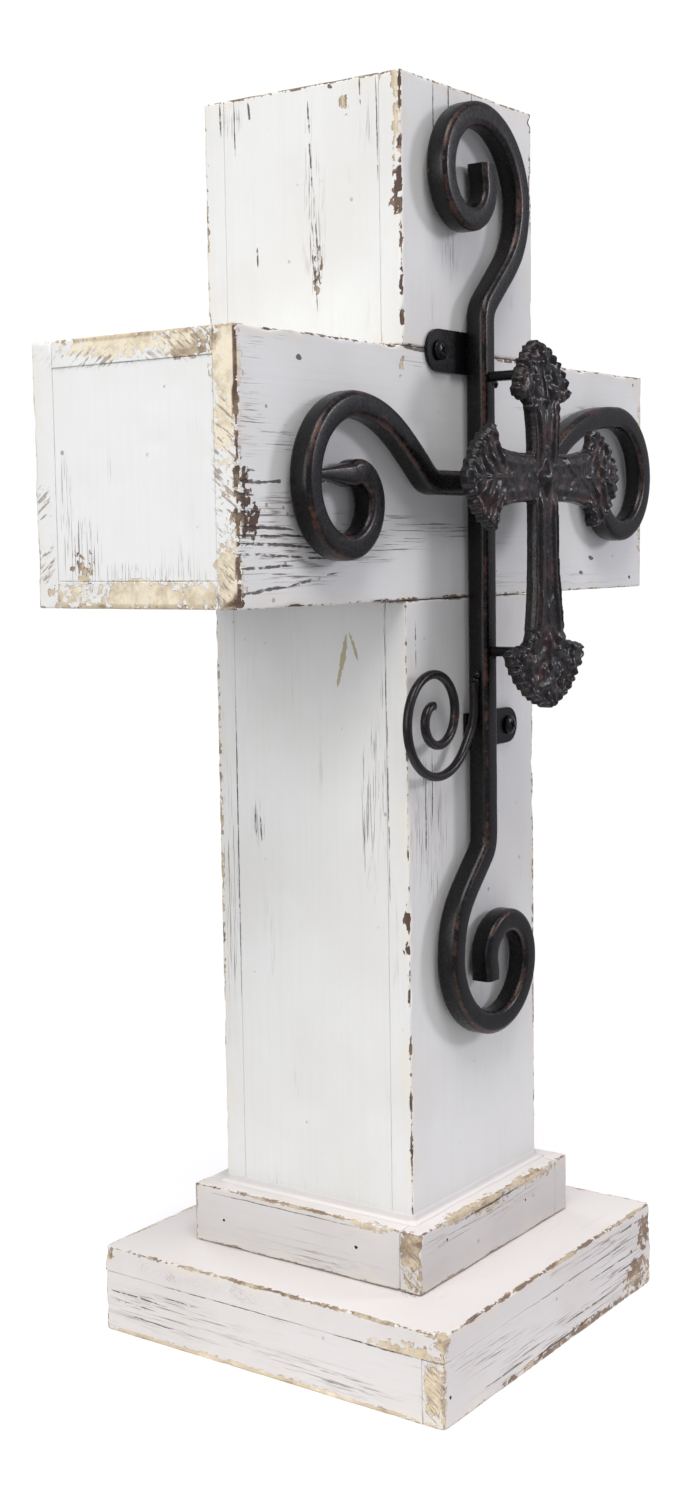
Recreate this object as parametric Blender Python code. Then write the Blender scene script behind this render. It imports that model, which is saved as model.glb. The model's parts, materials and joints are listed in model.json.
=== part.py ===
"""A standing cross: box-built from painted planks on a two-tier plinth, with wrought iron scrolls
and a cast iron leaf cross held out in front of the crossing. It faces -Y and stands on Z = 0."""

import math

import bmesh
import bpy
from mathutils import Matrix, Vector

# Driving sizes, in metres
GAP = 0.0003
BOARD = 0.0102
EASED_EDGE = 0.0006

POST_WIDTH = 0.1030
POST_DEPTH = 0.0990
LOWER_POST_HEIGHT = 0.2850
UPPER_POST_HEIGHT = 0.1062
CROSSBAR_LENGTH = 0.3170
CROSSBAR_HEIGHT = 0.1010
END_PANEL_RECESS = 0.0004
STEP_HEIGHT = 0.0258
BASE_WIDTH = 0.1810
BASE_DEPTH = 0.1780
BASE_FRAME_HEIGHT = 0.0269
BASE_TOP_THICKNESS = 0.0112

# Wrought ironwork: a square bar with rounded corners, held to the wood by two straps
BAR = 0.0100
BAR_CORNER = 0.0021
BAR_OFF_CENTRE = -0.0038
STRAP_THICKNESS = 0.0014
UPPER_STRAP_HEIGHT = 0.0172
LOWER_STRAP_HEIGHT = 0.0154
UPPER_STRAP_REACH = 0.0324
LOWER_STRAP_REACH = 0.0377
UPPER_STRAP_ABOVE_JOINT = -0.0003
LOWER_STRAP_BELOW_JOINT = 0.0569
WIRE = 0.0038
WIRE_SIDES = 8

# Scrolls, each coiling evenly inwards from its outer to its inner radius
COIL_STEP = 14
END_SCROLL_OUTER = 0.0363
END_SCROLL_INNER = 0.0084
END_SCROLL_TAIL = 0.0045
END_SCROLL_LIFT = 0.0065
TOP_SCROLL_ACROSS = -0.0064
TOP_SCROLL_ABOVE_CROSSBAR = 0.0652
BOTTOM_SCROLL_ACROSS = 0.0094
BOTTOM_SCROLL_ABOVE_PLINTH = 0.1061
TOP_KNEE_ABOVE_CROSSBAR = 0.0172
BOTTOM_KNEE_ABOVE_PLINTH = 0.1535
KNEE_ANGLE = math.radians(44)
KNEE_REACH = 0.0060
SIDE_ARM_ABOVE_CROSSBAR_FOOT = 0.0470
SIDE_KNEE_ACROSS = 0.0420
SIDE_KNEE_CLIMB = math.radians(41.5)
LEFT_SCROLL_ACROSS = 0.0966
LEFT_SCROLL_RISE = -0.0050
LEFT_SCROLL_OUTER = 0.0333
LEFT_SCROLL_INNER = 0.0069
LEFT_SCROLL_TURN = 360
LEFT_SCROLL_TAIL = 0.0200
RIGHT_SCROLL_ACROSS = 0.1192
RIGHT_SCROLL_RISE = 0.0031
RIGHT_SCROLL_OUTER = 0.0294
RIGHT_SCROLL_INNER = 0.0180
RIGHT_SCROLL_TURN = 300
RIGHT_SCROLL_TAIL = 0.0040
DRAWN_TIP = 0.0026

# The wire scroll runs clockwise from where it leaves its lead, angles in degrees
WIRE_SCROLL_ACROSS = -0.0370
WIRE_SCROLL_BELOW_JOINT = 0.0481
WIRE_SCROLL_OUTER = 0.0262
WIRE_SCROLL_INNER = 0.0054
WIRE_SCROLL_START = -38
WIRE_SCROLL_TURN = -572
WIRE_LEAD = 0.0100
WIRE_LEAD_ABOVE_CENTRE = 0.0125

# Screws and standoff pins
SCREW_HEAD = 0.0082
SCREW_HEAD_HEIGHT = 0.0022
SCREW_SHANK = 0.0034
SCREW_LENGTH = 0.0095
SCREW_CLEARANCE = 0.0003
SCREW_SLOT = 0.0011
SCREW_SLOT_DEPTH = 0.0011
PIN = 0.0042
UPPER_PIN_ABOVE_CENTRE = 0.0422
LOWER_PIN_BELOW_CENTRE = 0.0716

# Cast cross, measured from its crossing; a fan is the leaf that an arm ends in
CAST_BEHIND = 0.0320
CAST_TILT = math.radians(0.7)
CAST_THICKNESS = 0.0048
CAST_ACROSS = 0.0033
CAST_CROWN = 0.0008
CAST_RIB = 0.0009
CAST_VEIN = 0.0006
CAST_VEIN_PITCH = 0.0062
CAST_SCALLOP_PITCH = 0.0058
CAST_SCALLOP = 0.0013
CAST_ABOVE_CROSSBAR_FOOT = 0.0487
CAST_UPPER_ARM = 0.0555
CAST_LEFT_ARM = 0.0612
CAST_RIGHT_ARM = 0.0640
CAST_LOWER_ARM = 0.0955
CAST_SHAFT = 0.0098
CAST_STATION = 0.0022
CAST_ACROSS_POINTS = 13
CAST_UPPER_FAN = 0.0228
CAST_SIDE_FAN = 0.0220
CAST_LOWER_FAN = 0.0325
CAST_UPPER_LEAN = -0.0060
CAST_LOWER_LEAN = 0.0022
CAST_FAN_FALL = 0.0018
CAST_BOSS = 0.0075
CAST_BOSS_RISE = 0.0016

# Levels and faces worked out from them
BASE_TOP_Z = BASE_FRAME_HEIGHT + GAP + BASE_TOP_THICKNESS
POST_FOOT_Z = BASE_TOP_Z + GAP
STEP_TOP_Z = POST_FOOT_Z + STEP_HEIGHT
CROSSBAR_FOOT_Z = POST_FOOT_Z + LOWER_POST_HEIGHT + GAP
CROSSBAR_TOP_Z = CROSSBAR_FOOT_Z + CROSSBAR_HEIGHT
UPPER_FOOT_Z = CROSSBAR_TOP_Z + GAP
TOP_Z = UPPER_FOOT_Z + UPPER_POST_HEIGHT
WOOD_FACE_Y = -POST_DEPTH / 2
STRAP_BACK_Y = WOOD_FACE_Y - GAP
STRAP_FRONT_Y = STRAP_BACK_Y - STRAP_THICKNESS
BAR_BACK_Y = STRAP_FRONT_Y - GAP
BAR_Y = BAR_BACK_Y - BAR / 2
BAR_FRONT_Y = BAR_BACK_Y - BAR
CAST_BACK_Y = WOOD_FACE_Y - CAST_BEHIND
CAST_CENTRE_Z = CROSSBAR_FOOT_Z + CAST_ABOVE_CROSSBAR_FOOT
CAST_CENTRE = Vector((BAR_OFF_CENTRE + CAST_ACROSS, CAST_BACK_Y, CAST_CENTRE_Z))


def clear_scene():
    for item in list(bpy.data.objects):
        bpy.data.objects.remove(item, do_unlink=True)


def material(name, colour, roughness, metallic):
    made = bpy.data.materials.new(name)
    made.use_nodes = True
    shader = made.node_tree.nodes["Principled BSDF"]
    shader.inputs["Base Color"].default_value = (*colour, 1.0)
    shader.inputs["Roughness"].default_value = roughness
    shader.inputs["Metallic"].default_value = metallic
    return made


def empty(name):
    made = bpy.data.objects.new(name, None)
    bpy.context.scene.collection.objects.link(made)
    return made


def solid(name, shape, surface, parent, location=(0, 0, 0), smooth=None):
    """Turns a bmesh into a named object; smooth is the angle under which edges are shaded round."""
    bmesh.ops.recalc_face_normals(shape, faces=shape.faces[:])
    if shape.calc_volume(signed=True) < 0:
        bmesh.ops.reverse_faces(shape, faces=shape.faces[:])
    mesh = bpy.data.meshes.new(name)
    shape.to_mesh(mesh)
    shape.free()
    if smooth is not None:
        mesh.shade_smooth()
        mesh.set_sharp_from_angle(angle=math.radians(smooth))
    mesh.materials.append(surface)
    made = bpy.data.objects.new(name, mesh)
    made.location = location
    made.parent = parent
    bpy.context.scene.collection.objects.link(made)
    return made


def combine(target, other, operation):
    """Cuts other from target, or joins it to it, and keeps other as a hidden guide."""
    other.hide_render = True
    other.display_type = "WIRE"
    modifier = target.modifiers.new(f"{operation.lower()} {other.name}", "BOOLEAN")
    modifier.operation = operation
    modifier.object = other


def board(name, low, high):
    """A plank with eased edges between two corners."""
    low, high = Vector(low), Vector(high)
    size = high - low
    shape = bmesh.new()
    bmesh.ops.create_cube(shape, size=1.0)
    bmesh.ops.scale(shape, verts=shape.verts[:], vec=size)
    bmesh.ops.bevel(shape, geom=shape.edges[:], offset=EASED_EDGE, segments=1, affect="EDGES")
    return solid(name, shape, paintedWood, wholeCross, (low + high) / 2)


def box_of_boards(name, width, depth, foot, top):
    """Front and back boards at full width with the side boards between them."""
    inner = depth / 2 - BOARD
    board(f"{name}_front", (-width / 2, -depth / 2, foot), (width / 2, -inner, top))
    board(f"{name}_back", (-width / 2, inner, foot), (width / 2, depth / 2, top))
    for side, end in (("left", -width / 2), ("right", width / 2 - BOARD)):
        board(f"{name}_{side}", (end, -inner + GAP, foot), (end + BOARD, inner - GAP, top))


def pinwheel_frame(name, width, depth, foot, top):
    """Four boards round a rectangle, each with one end showing and the other behind the next board."""
    x, y = width / 2, depth / 2
    board(f"{name}_front", (-x, -y, foot), (x - BOARD - GAP, -y + BOARD, top))
    board(f"{name}_right", (x - BOARD, -y, foot), (x, y - BOARD - GAP, top))
    board(f"{name}_back", (-x + BOARD + GAP, y - BOARD, foot), (x, y, top))
    board(f"{name}_left", (-x, -y + BOARD + GAP, foot), (-x + BOARD, y, top))


def plinth():
    pinwheel_frame("base", BASE_WIDTH, BASE_DEPTH, 0, BASE_FRAME_HEIGHT)
    x, y = BASE_WIDTH / 2, BASE_DEPTH / 2
    board("base_top", (-x, -y, BASE_FRAME_HEIGHT + GAP), (x, y, BASE_TOP_Z))
    wrap = 2 * (BOARD + GAP)
    pinwheel_frame("step", POST_WIDTH + wrap, POST_DEPTH + wrap, POST_FOOT_Z, STEP_TOP_Z)


def crossbar():
    x, y = CROSSBAR_LENGTH / 2, POST_DEPTH / 2
    inner = y - BOARD
    foot, top = CROSSBAR_FOOT_Z, CROSSBAR_TOP_Z
    board("crossbar_front", (-x, -y, foot), (x, -inner, top))
    board("crossbar_back", (-x, inner, foot), (x, y, top))
    board("crossbar_top", (-x, -inner + GAP, top - BOARD), (x, inner - GAP, top))
    board("crossbar_bottom", (-x, -inner + GAP, foot), (x, inner - GAP, foot + BOARD))
    low, high = foot + BOARD + GAP, top - BOARD - GAP
    end = x - END_PANEL_RECESS
    board("crossbar_end_left", (-end, -inner + GAP, low), (-end + BOARD, inner - GAP, high))
    board("crossbar_end_right", (end - BOARD, -inner + GAP, low), (end, inner - GAP, high))


def posts():
    box_of_boards("lower_post", POST_WIDTH, POST_DEPTH, POST_FOOT_Z, CROSSBAR_FOOT_Z - GAP)
    box_of_boards("upper_post", POST_WIDTH, POST_DEPTH, UPPER_FOOT_Z, TOP_Z)
    x = POST_WIDTH / 2 - BOARD - GAP
    y = POST_DEPTH / 2 - BOARD - GAP
    board("upper_post_cap", (-x, -y, TOP_Z - END_PANEL_RECESS - BOARD), (x, y, TOP_Z - END_PANEL_RECESS))


def at(x, z):
    return Vector((x, 0, z))


def cubic(start, start_pull, end_pull, end, count):
    """Points along a cubic curve, without its first one."""
    points = []
    for i in range(1, count + 1):
        t = i / count
        s = 1 - t
        points.append(s**3 * start + 3 * s * s * t * start_pull + 3 * s * t * t * end_pull + t**3 * end)
    return points


def polar(radius, degrees):
    angle = math.radians(degrees)
    return at(radius * math.cos(angle), radius * math.sin(angle))


def coil(centre, start, turn, outer, inner, lift=0.0):
    """Points round a centre whose distance shrinks evenly, without the first one; angles in degrees.
    lift carries the inner end up from the centre."""
    count = round(abs(turn) / COIL_STEP)
    points = []
    for i in range(1, count + 1):
        share = i / count
        radius = outer + (inner - outer) * share
        points.append(centre + polar(radius, start + turn * share) + at(0, lift * share**2))
    return points


def knee(corner, before, after):
    """A tight bend at a corner, between two unit directions."""
    start = corner - before * KNEE_REACH
    end = corner + after * KNEE_REACH
    return [start] + cubic(start, start.lerp(corner, 0.8), end.lerp(corner, 0.8), end, 4)


def end_scroll(corner, up, side, centre):
    """The route from a knee in the upright to the inner end of its coil; up is -1 for the lower one."""
    before = at(0, up)
    after = at(side * math.sin(KNEE_ANGLE), up * math.cos(KNEE_ANGLE))
    route = knee(corner, before, after)
    start = centre + at(side * END_SCROLL_OUTER, 0)
    pull = 0.62 * END_SCROLL_OUTER
    route += cubic(route[-1], route[-1] + after * pull, start - before * pull, start, 6)
    start_angle = 0 if side > 0 else 180
    route += coil(centre, start_angle, 360, END_SCROLL_OUTER, END_SCROLL_INNER, up * END_SCROLL_LIFT)
    route.append(route[-1] + before * END_SCROLL_TAIL)
    return route


def side_scroll(side, arm_z, across, rise, outer, inner, turn, tail):
    """The route from the upright's side to the inner end of a side coil. side is -1 on the left."""
    foot = at(side * (BAR / 2 + GAP), arm_z)
    corner = at(side * SIDE_KNEE_ACROSS, arm_z)
    level = at(side, 0)
    climb = at(side * math.cos(SIDE_KNEE_CLIMB), math.sin(SIDE_KNEE_CLIMB))
    route = [foot] + knee(corner, level, climb)
    centre = at(side * across, arm_z + rise)
    top = centre + at(0, outer)
    reach = abs(top.x - corner.x)
    route += cubic(route[-1], route[-1] + climb * (0.45 * reach), top - level * (0.36 * reach), top, 8)
    route += coil(centre, 90, -side * turn, outer, inner)
    inward = polar(1, 90 - side * turn)
    route.append(route[-1] + at(inward.z, -inward.x) * (side * tail))
    return route


def rounded_square(side, radius):
    """A square section with a rounded corner in each quarter."""
    points = []
    for i in range(12):
        corner, step = divmod(i, 3)
        middle = Vector((side / 2 - radius, side / 2 - radius))
        middle.rotate(Matrix.Rotation(math.pi / 2 * corner, 2))
        angle = math.pi / 2 * corner + math.pi / 4 * step
        points.append(middle + radius * Vector((math.cos(angle), math.sin(angle))))
    return points


def round_section(diameter, sides):
    turns = [2 * math.pi * i / sides for i in range(sides)]
    return [diameter / 2 * Vector((math.cos(turn), math.sin(turn))) for turn in turns]


def sweep(name, route, section, y, tip=1.0):
    """A bent bar whose route lies in a plane that faces the front; tip is its end's share of the width."""
    shape = bmesh.new()
    rings = []
    for i, point in enumerate(route):
        before = route[max(i - 1, 0)]
        after = route[min(i + 1, len(route) - 1)]
        along = (after - before).normalized()
        normal = at(-along.z, along.x) * (tip if i == len(route) - 1 else 1)
        rings.append([shape.verts.new(point + normal * p.x + Vector((0, p.y, 0))) for p in section])
    count = len(section)
    for ring, following in zip(rings, rings[1:]):
        for j in range(count):
            k = (j + 1) % count
            shape.faces.new((ring[j], ring[k], following[k], following[j]))
    shape.faces.new(rings[0])
    shape.faces.new(rings[-1])
    return solid(name, shape, wroughtIron, wholeCross, (BAR_OFF_CENTRE, y, 0), smooth=40)


def wrought_scrolls():
    section = rounded_square(BAR, BAR_CORNER)
    top_knee = at(0, CROSSBAR_TOP_Z + TOP_KNEE_ABOVE_CROSSBAR)
    top_centre = at(TOP_SCROLL_ACROSS, CROSSBAR_TOP_Z + TOP_SCROLL_ABOVE_CROSSBAR)
    bottom_knee = at(0, STEP_TOP_Z + BOTTOM_KNEE_ABOVE_PLINTH)
    bottom_centre = at(BOTTOM_SCROLL_ACROSS, STEP_TOP_Z + BOTTOM_SCROLL_ABOVE_PLINTH)
    top = end_scroll(top_knee, 1, 1, top_centre)
    bottom = end_scroll(bottom_knee, -1, -1, bottom_centre)
    sweep("scroll_upright", top[::-1] + bottom, section, BAR_Y)
    arm_z = CROSSBAR_FOOT_Z + SIDE_ARM_ABOVE_CROSSBAR_FOOT
    left = side_scroll(
        -1,
        arm_z,
        LEFT_SCROLL_ACROSS,
        LEFT_SCROLL_RISE,
        LEFT_SCROLL_OUTER,
        LEFT_SCROLL_INNER,
        LEFT_SCROLL_TURN,
        LEFT_SCROLL_TAIL,
    )
    sweep("scroll_left", left, section, BAR_Y, DRAWN_TIP / BAR)
    right = side_scroll(
        1,
        arm_z,
        RIGHT_SCROLL_ACROSS,
        RIGHT_SCROLL_RISE,
        RIGHT_SCROLL_OUTER,
        RIGHT_SCROLL_INNER,
        RIGHT_SCROLL_TURN,
        RIGHT_SCROLL_TAIL,
    )
    sweep("scroll_right", right, section, BAR_Y)


def wire_scroll():
    """A thin rod that leaves the upright's left side and coils clockwise."""
    centre = at(WIRE_SCROLL_ACROSS, CROSSBAR_FOOT_Z - WIRE_SCROLL_BELOW_JOINT)
    start = centre + polar(WIRE_SCROLL_OUTER, WIRE_SCROLL_START)
    top = at(-BAR / 2 - GAP - WIRE / 2, centre.z + WIRE_LEAD_ABOVE_CENTRE)
    lead = top - at(0, WIRE_LEAD)
    heading = polar(1, WIRE_SCROLL_START - 90)
    pull = 0.3 * WIRE_SCROLL_OUTER
    route = [top, lead] + cubic(lead, lead - at(0, pull), start - heading * pull, start, 5)
    route += coil(centre, WIRE_SCROLL_START, WIRE_SCROLL_TURN, WIRE_SCROLL_OUTER, WIRE_SCROLL_INNER)
    sweep("wire_scroll", route, round_section(WIRE, WIRE_SIDES), BAR_Y)


def turned(name, profile, sides, surface, location):
    """A round piece about the Y axis; the profile's points are (radius, distance towards the front)."""
    shape = bmesh.new()
    rings = []
    for radius, forward in profile:
        ring = []
        for i in range(sides):
            angle = 2 * math.pi * i / sides
            ring.append(shape.verts.new((radius * math.cos(angle), -forward, radius * math.sin(angle))))
        rings.append(ring)
    for ring, following in zip(rings, rings[1:]):
        for j in range(sides):
            k = (j + 1) % sides
            shape.faces.new((ring[j], ring[k], following[k], following[j]))
    shape.faces.new(rings[0])
    shape.faces.new(rings[-1])
    return solid(name, shape, surface, wholeCross, location, smooth=40)


def screw(name, x, z, holders):
    """A pan-head screw through a strap, with its hole cut in the strap and in the boards behind."""
    head_back = -STRAP_FRONT_Y + GAP
    radius, shank = SCREW_HEAD / 2, SCREW_SHANK / 2
    profile = [
        (shank, head_back - SCREW_LENGTH),
        (shank, head_back),
        (radius, head_back),
        (radius, head_back + 0.4 * SCREW_HEAD_HEIGHT),
        (0.78 * radius, head_back + 0.85 * SCREW_HEAD_HEIGHT),
        (0.40 * radius, head_back + SCREW_HEAD_HEIGHT),
    ]
    made = turned(name, profile, 16, wroughtIron, (x, 0, z))
    slot_length = 0.62 * SCREW_HEAD
    front = (x, -head_back - SCREW_HEAD_HEIGHT, z)
    slots = (("across", slot_length, SCREW_SLOT), ("upright", SCREW_SLOT, slot_length))
    for direction, width, height in slots:
        shape = bmesh.new()
        bmesh.ops.create_cube(shape, size=1.0)
        bmesh.ops.scale(shape, verts=shape.verts[:], vec=(width, 2 * SCREW_SLOT_DEPTH, height))
        slot = solid(f"{name}_slot_{direction}", shape, wroughtIron, wholeCross, front)
        combine(made, slot, "DIFFERENCE")
    hole = shank + SCREW_CLEARANCE
    deep = 2 * (BOARD + STRAP_THICKNESS)
    bore = [(hole, -deep / 2), (hole, deep / 2)]
    cutter = turned(f"{name}_hole", bore, 16, wroughtIron, (x, WOOD_FACE_Y, z))
    for holder in holders:
        combine(bpy.data.objects[holder], cutter, "DIFFERENCE")


def strap(name, side, reach, height, z):
    """A flat tab behind the upright with one rounded end, the screw's hole at the centre of the round."""
    radius = height / 2
    root = -side * BAR / 2
    eye = side * (reach - radius)
    round_end = [polar(radius, 18 * i - 90) for i in range(11)]
    outline = [at(root, -radius)]
    outline += [at(eye + side * point.x, point.z) for point in round_end]
    outline += [at(root, radius)]
    shape = bmesh.new()
    face = shape.faces.new([shape.verts.new(point) for point in outline])
    grown = bmesh.ops.extrude_face_region(shape, geom=[face])
    moved = [item for item in grown["geom"] if isinstance(item, bmesh.types.BMVert)]
    bmesh.ops.translate(shape, verts=moved, vec=(0, -STRAP_THICKNESS, 0))
    solid(name, shape, wroughtIron, wholeCross, (BAR_OFF_CENTRE, STRAP_BACK_Y, z))
    return BAR_OFF_CENTRE + eye


def fastenings():
    upper_z = CROSSBAR_TOP_Z + UPPER_STRAP_ABOVE_JOINT
    lower_z = CROSSBAR_FOOT_Z - LOWER_STRAP_BELOW_JOINT
    upper_x = strap("strap_upper", -1, UPPER_STRAP_REACH, UPPER_STRAP_HEIGHT, upper_z)
    lower_x = strap("strap_lower", 1, LOWER_STRAP_REACH, LOWER_STRAP_HEIGHT, lower_z)
    screw("screw_upper", upper_x, upper_z, ("strap_upper", "crossbar_front", "upper_post_front"))
    screw("screw_lower", lower_x, lower_z, ("strap_lower", "lower_post_front"))
    start, end = -BAR_FRONT_Y + GAP, -CAST_BACK_Y - GAP
    for name, z in (
        ("pin_upper", CAST_CENTRE_Z + UPPER_PIN_ABOVE_CENTRE),
        ("pin_lower", CAST_CENTRE_Z - LOWER_PIN_BELOW_CENTRE),
    ):
        turned(name, [(PIN / 2, start), (PIN / 2, end)], 12, wroughtIron, (BAR_OFF_CENTRE, 0, z))


def smoothed(low, high, value):
    t = min(max((value - low) / (high - low), 0), 1)
    return t * t * (3 - 2 * t)


def leaf_half_width(along, arm):
    """Half the width of a cast arm at a distance from the crossing."""
    leaf = arm["leaf"] * arm["length"]
    shaft = CAST_SHAFT * (1 + arm["flare"] * min(along / leaf, 1) ** 4)
    if along < leaf:
        return shaft
    share = (along - leaf) / (arm["length"] - leaf)
    shoulder = smoothed(0, 0.17, share)
    fan = arm["fan"] * max(1 - share ** arm["taper"], 0) ** 0.62
    scallop = CAST_SCALLOP * abs(math.sin(math.pi * (along - leaf) / CAST_SCALLOP_PITCH)) * share
    return shaft + (max(fan - scallop, 0.12 * CAST_SHAFT) - shaft) * shoulder


def cast_relief(along, across, half, arm):
    """How far the front stands out over the cast edge, at a place on an arm."""
    leaf = arm["leaf"] * arm["length"]
    u = across / half
    on_leaf = smoothed(leaf - 0.07 * arm["length"], leaf + 0.05 * arm["length"], along)
    ribs = math.exp(-(((abs(u) - 0.45) / 0.16) ** 2)) + 0.7 * math.exp(-(((abs(u) - 1) / 0.12) ** 2))
    vein = 0.5 + 0.5 * math.cos(2 * math.pi * (along - 0.9 * abs(across)) / CAST_VEIN_PITCH)
    midrib = math.exp(-((across / (0.18 * CAST_SHAFT)) ** 2))
    lifted = CAST_VEIN * vein * (1 - 0.5 * midrib) + CAST_RIB * 0.7 * midrib
    reach = max(along - leaf, 0) / (arm["length"] - leaf)
    fall = CAST_FAN_FALL * max(reach, abs(u) * on_leaf) ** 2
    return CAST_CROWN * (1 - u * u) + (1 - on_leaf) * CAST_RIB * ribs + on_leaf * lifted - fall


def cast_bar(name, lower, upper, back):
    """One straight limb of the cast cross, from the tip of its lower arm to the tip of its upper arm."""
    stations = []
    for sign, arm in ((-1, lower), (1, upper)):
        count = round(arm["length"] / CAST_STATION)
        places = [arm["length"] * (i + 0.5 * (i == count)) / (count + 0.5) for i in range(count + 1)]
        rows = [(sign * place, arm) for place in places]
        stations += rows[::-1] if sign < 0 else rows[1:]
    shape = bmesh.new()
    fronts, backs = [], []
    for place, arm in stations:
        along = abs(place)
        half = leaf_half_width(along, arm)
        lean = arm["lean"] * (along / arm["length"]) ** 5
        across = [half * (2 * j / (CAST_ACROSS_POINTS - 1) - 1) for j in range(CAST_ACROSS_POINTS)]
        out = [CAST_THICKNESS + cast_relief(along, a, half, arm) for a in across]
        fronts.append([shape.verts.new((a + lean, -h, place)) for a, h in zip(across, out)])
        backs.append([shape.verts.new((across[j] + lean, -back, place)) for j in (0, -1)])
    for i in range(len(stations) - 1):
        front, next_front = fronts[i], fronts[i + 1]
        for j in range(CAST_ACROSS_POINTS - 1):
            shape.faces.new((front[j], front[j + 1], next_front[j + 1], next_front[j]))
        for j in (0, -1):
            shape.faces.new((front[j], next_front[j], backs[i + 1][j], backs[i][j]))
        shape.faces.new((*backs[i], *backs[i + 1][::-1]))
    for i in (0, -1):
        shape.faces.new((*fronts[i], *backs[i][::-1]))
    return solid(name, shape, castIron, wholeCross, CAST_CENTRE, smooth=35)


def cast_boss(name):
    """The four-pointed boss over the crossing."""
    shape = bmesh.new()
    low = CAST_THICKNESS / 2
    high = CAST_THICKNESS + CAST_CROWN + CAST_BOSS_RISE
    reaches = (0.62, 0.72, 1.00, 0.72)
    rim, top = [], []
    for i in range(16):
        out = polar(CAST_BOSS * reaches[i % 4], i * 360 / 16)
        rim.append(shape.verts.new(out - Vector((0, low, 0))))
        top.append(shape.verts.new(out * 0.62 - Vector((0, high, 0))))
    for i in range(16):
        k = (i + 1) % 16
        shape.faces.new((rim[i], rim[k], top[k], top[i]))
    shape.faces.new(rim)
    shape.faces.new(top)
    return solid(name, shape, castIron, wholeCross, CAST_CENTRE)


def cast_cross():
    """leaf, flare and taper are shares of the arm's own form; lean carries its tip to one side."""
    upper = {"length": CAST_UPPER_ARM, "fan": CAST_UPPER_FAN, "lean": CAST_UPPER_LEAN}
    upper.update(leaf=0.54, flare=0.28, taper=1.9)
    lower = {"length": CAST_LOWER_ARM, "fan": CAST_LOWER_FAN, "lean": CAST_LOWER_LEAN}
    lower.update(leaf=0.70, flare=0.48, taper=1.7)
    left = {"length": CAST_LEFT_ARM, "fan": CAST_SIDE_FAN, "lean": 0.0}
    left.update(leaf=0.60, flare=0.28, taper=1.8)
    right = dict(left, length=CAST_RIGHT_ARM)
    upright = cast_bar("cast_cross", lower, upper, 0)
    across = cast_bar("cast_cross_arms", left, right, GAP / 2)
    upright.rotation_euler = (0, -CAST_TILT, 0)
    across.rotation_euler = (0, math.pi / 2 - CAST_TILT, 0)
    combine(upright, across, "UNION")
    combine(upright, cast_boss("cast_cross_boss"), "UNION")


clear_scene()
wholeCross = empty("standing_cross")
paintedWood = material("painted_wood", (0.80, 0.78, 0.74), 0.75, 0.0)
wroughtIron = material("wrought_iron", (0.018, 0.017, 0.018), 0.48, 0.4)
castIron = material("cast_iron", (0.045, 0.034, 0.032), 0.6, 0.5)
plinth()
posts()
crossbar()
wrought_scrolls()
wire_scroll()
fastenings()
cast_cross()
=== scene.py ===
# Looks for the standing cross: painted plank cross on two tiers, wrought iron scrolls, cast leaf cross.
import json
import math
import bpy
import numpy as np
from mathutils import Matrix, Vector

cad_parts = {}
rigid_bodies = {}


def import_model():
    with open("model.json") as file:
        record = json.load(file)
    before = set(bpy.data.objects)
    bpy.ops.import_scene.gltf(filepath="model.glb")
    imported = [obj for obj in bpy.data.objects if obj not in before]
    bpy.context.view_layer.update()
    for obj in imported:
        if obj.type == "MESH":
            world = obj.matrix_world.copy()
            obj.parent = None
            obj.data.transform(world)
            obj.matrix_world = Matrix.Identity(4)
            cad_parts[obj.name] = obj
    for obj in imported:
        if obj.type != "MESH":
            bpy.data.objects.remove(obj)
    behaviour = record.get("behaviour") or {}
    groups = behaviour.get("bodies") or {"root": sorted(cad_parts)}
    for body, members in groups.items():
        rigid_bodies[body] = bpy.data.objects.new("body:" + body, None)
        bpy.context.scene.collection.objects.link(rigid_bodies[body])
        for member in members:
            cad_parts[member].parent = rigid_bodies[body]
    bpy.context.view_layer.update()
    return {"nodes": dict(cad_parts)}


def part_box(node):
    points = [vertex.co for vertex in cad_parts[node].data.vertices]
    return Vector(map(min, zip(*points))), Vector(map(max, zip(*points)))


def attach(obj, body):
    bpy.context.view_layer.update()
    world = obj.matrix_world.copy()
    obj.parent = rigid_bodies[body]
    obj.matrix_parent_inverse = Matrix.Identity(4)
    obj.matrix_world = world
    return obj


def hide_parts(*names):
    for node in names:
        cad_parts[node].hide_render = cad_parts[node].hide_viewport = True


for leftover in list(bpy.data.objects):
    bpy.data.objects.remove(leftover)
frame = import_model()
scene = bpy.context.scene
mm = 0.001
print("frame loaded:", len(frame["nodes"]), "nodes")


# small helpers for numbers, meshes and nodes
def smooth(low, high, value):
    share = np.clip((value - low) / (high - low), 0, 1)
    return share * share * (3 - 2 * share)


def softNoise(points, cell, seed):
    # value noise from -1 to 1; cell is in metres and may differ along each axis
    lattice = np.random.default_rng(seed).random((32, 32, 32)) * 2 - 1
    place = points / np.array(cell)
    corner = np.floor(place).astype(int)
    share = place - corner
    share = share * share * (3 - 2 * share)
    total = np.zeros(len(points))
    for step in np.ndindex(2, 2, 2):
        weight = np.prod(np.where(step, share, 1 - share), axis=1)
        at = (corner + step) % 32
        total += weight * lattice[at[:, 0], at[:, 1], at[:, 2]]
    return total


def addObject(name, data):
    obj = bpy.data.objects.new(name, data)
    scene.collection.objects.link(obj)
    return obj


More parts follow.
